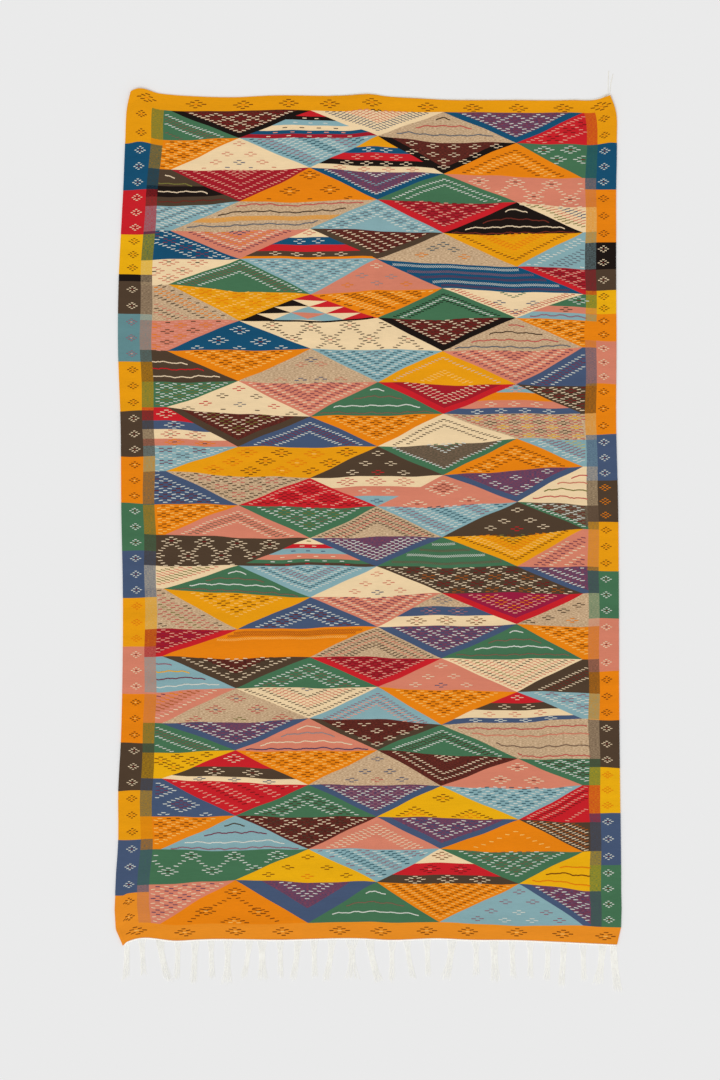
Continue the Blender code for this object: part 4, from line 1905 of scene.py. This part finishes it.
def ground_finish():
    """Weft-faced wool: ribs along the warp, beaten picks across it, with each yarn's own unevenness."""
    finish = Finish("woven_wool", WOOL_ROUGHNESS)
    place = loom_place(finish)
    across, along = parts(finish, place)
    mixing = colour_of(finish, "mixing")
    interlocked = finish.node("ShaderNodeSeparateColor", None, {0: mixing}, output=0)
    heathered = finish.node("ShaderNodeSeparateColor", None, {0: mixing}, output=1)
    streaks = finish.noise(place, STREAKS, 1.0)
    flecks = finish.noise(place, FLECKS, 1.0)
    picked = finish.node("ShaderNodeMapRange", None, {0: streaks, 1: 0.35, 2: 0.65, 3: 0.3, 4: 0.66})
    flecked = finish.node("ShaderNodeMapRange", None, {0: flecks, 1: 0.36, 2: 0.64, 3: 0.0, 4: 1.0})
    share = interlocked * picked + heathered * flecked
    colour = finish.blend(share, colour_of(finish, "yarn"), colour_of(finish, "second_yarn"))
    dyeing = finish.noise(place, GROUND_DYEING)
    spinning = finish.noise(place, GROUND_SPINNING, 3.0)
    ribs = (across * (2 * math.pi / RIB_PITCH)).wave()
    grain = finish.noise(place, GROUND_GRAIN, 1.0)
    # The ribs term paints shade into the colour: a little darker in the grooves between the ribs and
    # lighter on their crowns. The other terms are the yarns' own uneven dyeing, spinning and grain.
    tone_and_rib_shade = 0.72 + 0.22 * dyeing + 0.18 * spinning + 0.18 * grain + 0.025 * ribs
    finish.feed("Base Color", finish.shaded(colour, tone_and_rib_shade * (1.0 - INTERLOCK_SHADE * interlocked)))
    picks = (along * (2 * math.pi / PICK_PITCH)).wave()
    finish.bump(0.6, 0.0006, 0.5 * ribs + 0.25 * picks + 0.9 * spinning)
    finish.feed("Roughness", 0.86 + 0.12 * spinning)
    return finish.material


def float_finish(letter):
    """One dyed yarn of the brocade, with fine fibres along its floats."""
    name, colour = YARNS[letter]
    finish = Finish("brocade_yarn_" + name, YARN_ROUGHNESS)
    place = loom_place(finish)
    dyeing = finish.noise(place, FLOAT_DYEING)
    fibres = finish.noise(place, FLOAT_FIBRES)
    base = (*linear(colour), 1.0)
    finish.feed("Base Color", finish.shaded(base, 0.78 + 0.3 * dyeing + 0.14 * fibres))
    finish.bump(0.5, 0.0004, fibres)
    return finish.material


def warp_finish(name, colour):
    """Undyed warp yarn, with its twist and a few darker fibres."""
    finish = Finish(name, YARN_ROUGHNESS)
    place = finish.node("ShaderNodeTexCoord", output=3)
    fibres = finish.noise(place, WARP_FIBRES)
    soil = finish.noise(place, WARP_SOIL)
    finish.feed("Base Color", finish.shaded((*linear(colour), 1.0), 0.94 + 0.12 * fibres + 0.08 * soil))
    finish.bump(0.4, 0.0003, fibres)
    return finish.material


# ---------------------------------------------------------------- setting


def make_floor():
    half = FLOOR_SIZE / 2
    places = [(-half, -half, 0.0), (half, -half, 0.0), (half, half, 0.0), (-half, half, 0.0)]
    floor = mesh_object("floor", places, [[0, 1, 2, 3]])
    finish = Finish("pale_floor", 1.0)
    finish.shader.inputs["Base Color"].default_value = (*linear(FLOOR_COLOUR), 1.0)
    finish.shader.inputs["Specular IOR Level"].default_value = 0.0
    floor.data.materials.append(finish.material)


def make_light():
    world = bpy.data.worlds.new("soft_daylight")
    world.use_nodes = True
    sky = world.node_tree.nodes["Background"]
    sky.inputs["Color"].default_value = (1.0, 1.0, 1.0, 1.0)
    sky.inputs["Strength"].default_value = SKY_STRENGTH
    bpy.context.scene.world = world
    lamp = bpy.data.lights.new("soft_key", "SUN")
    lamp.energy = SUN_STRENGTH
    lamp.angle = math.radians(SUN_SOFTNESS)
    key = bpy.data.objects.new("soft_key", lamp)
    key.rotation_euler = (math.radians(SUN_TILT), 0.0, math.radians(SUN_TURN))
    bpy.context.scene.collection.objects.link(key)


def make_camera():
    lens = bpy.data.cameras.new("overhead")
    lens.sensor_width = 36.0
    lens.lens = lens.sensor_width * VIEW_FROM / VIEW_HEIGHT
    lens.clip_end = 50.0
    camera = bpy.data.objects.new("overhead", lens)
    camera.location = (VIEW_ACROSS + SHIFT[0], VIEW_ALONG + SHIFT[1], VIEW_FROM)
    bpy.context.scene.collection.objects.link(camera)
    bpy.context.scene.camera = camera
    bpy.context.scene.view_settings.view_transform = "Standard"


def dress(piece, material, slot, *nodes):
    """Gives a piece its finish and ties it to the rug, in place of the solids named."""
    piece.data.materials.append(material)
    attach(piece, "root")
    if nodes:
        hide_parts(*nodes)


def main():
    cells = read_cells()
    ground = make_ground(cells)
    dress(ground, ground_finish(), "woven_wool", "rug")
    floats = make_brocade(cells)
    for letter, piece in floats.items():
        dress(piece, float_finish(letter), "woven_wool")
    fringe = make_fringe()
    dress(fringe, warp_finish("warp_yarn", WARP_COLOUR), "warp_yarn", "fringe")
    cord = make_cord()
    dress(cord, warp_finish("twined_warp", CORD_COLOUR), "warp_yarn", "end_cord")
    make_floor()
    make_light()
    make_camera()


main()
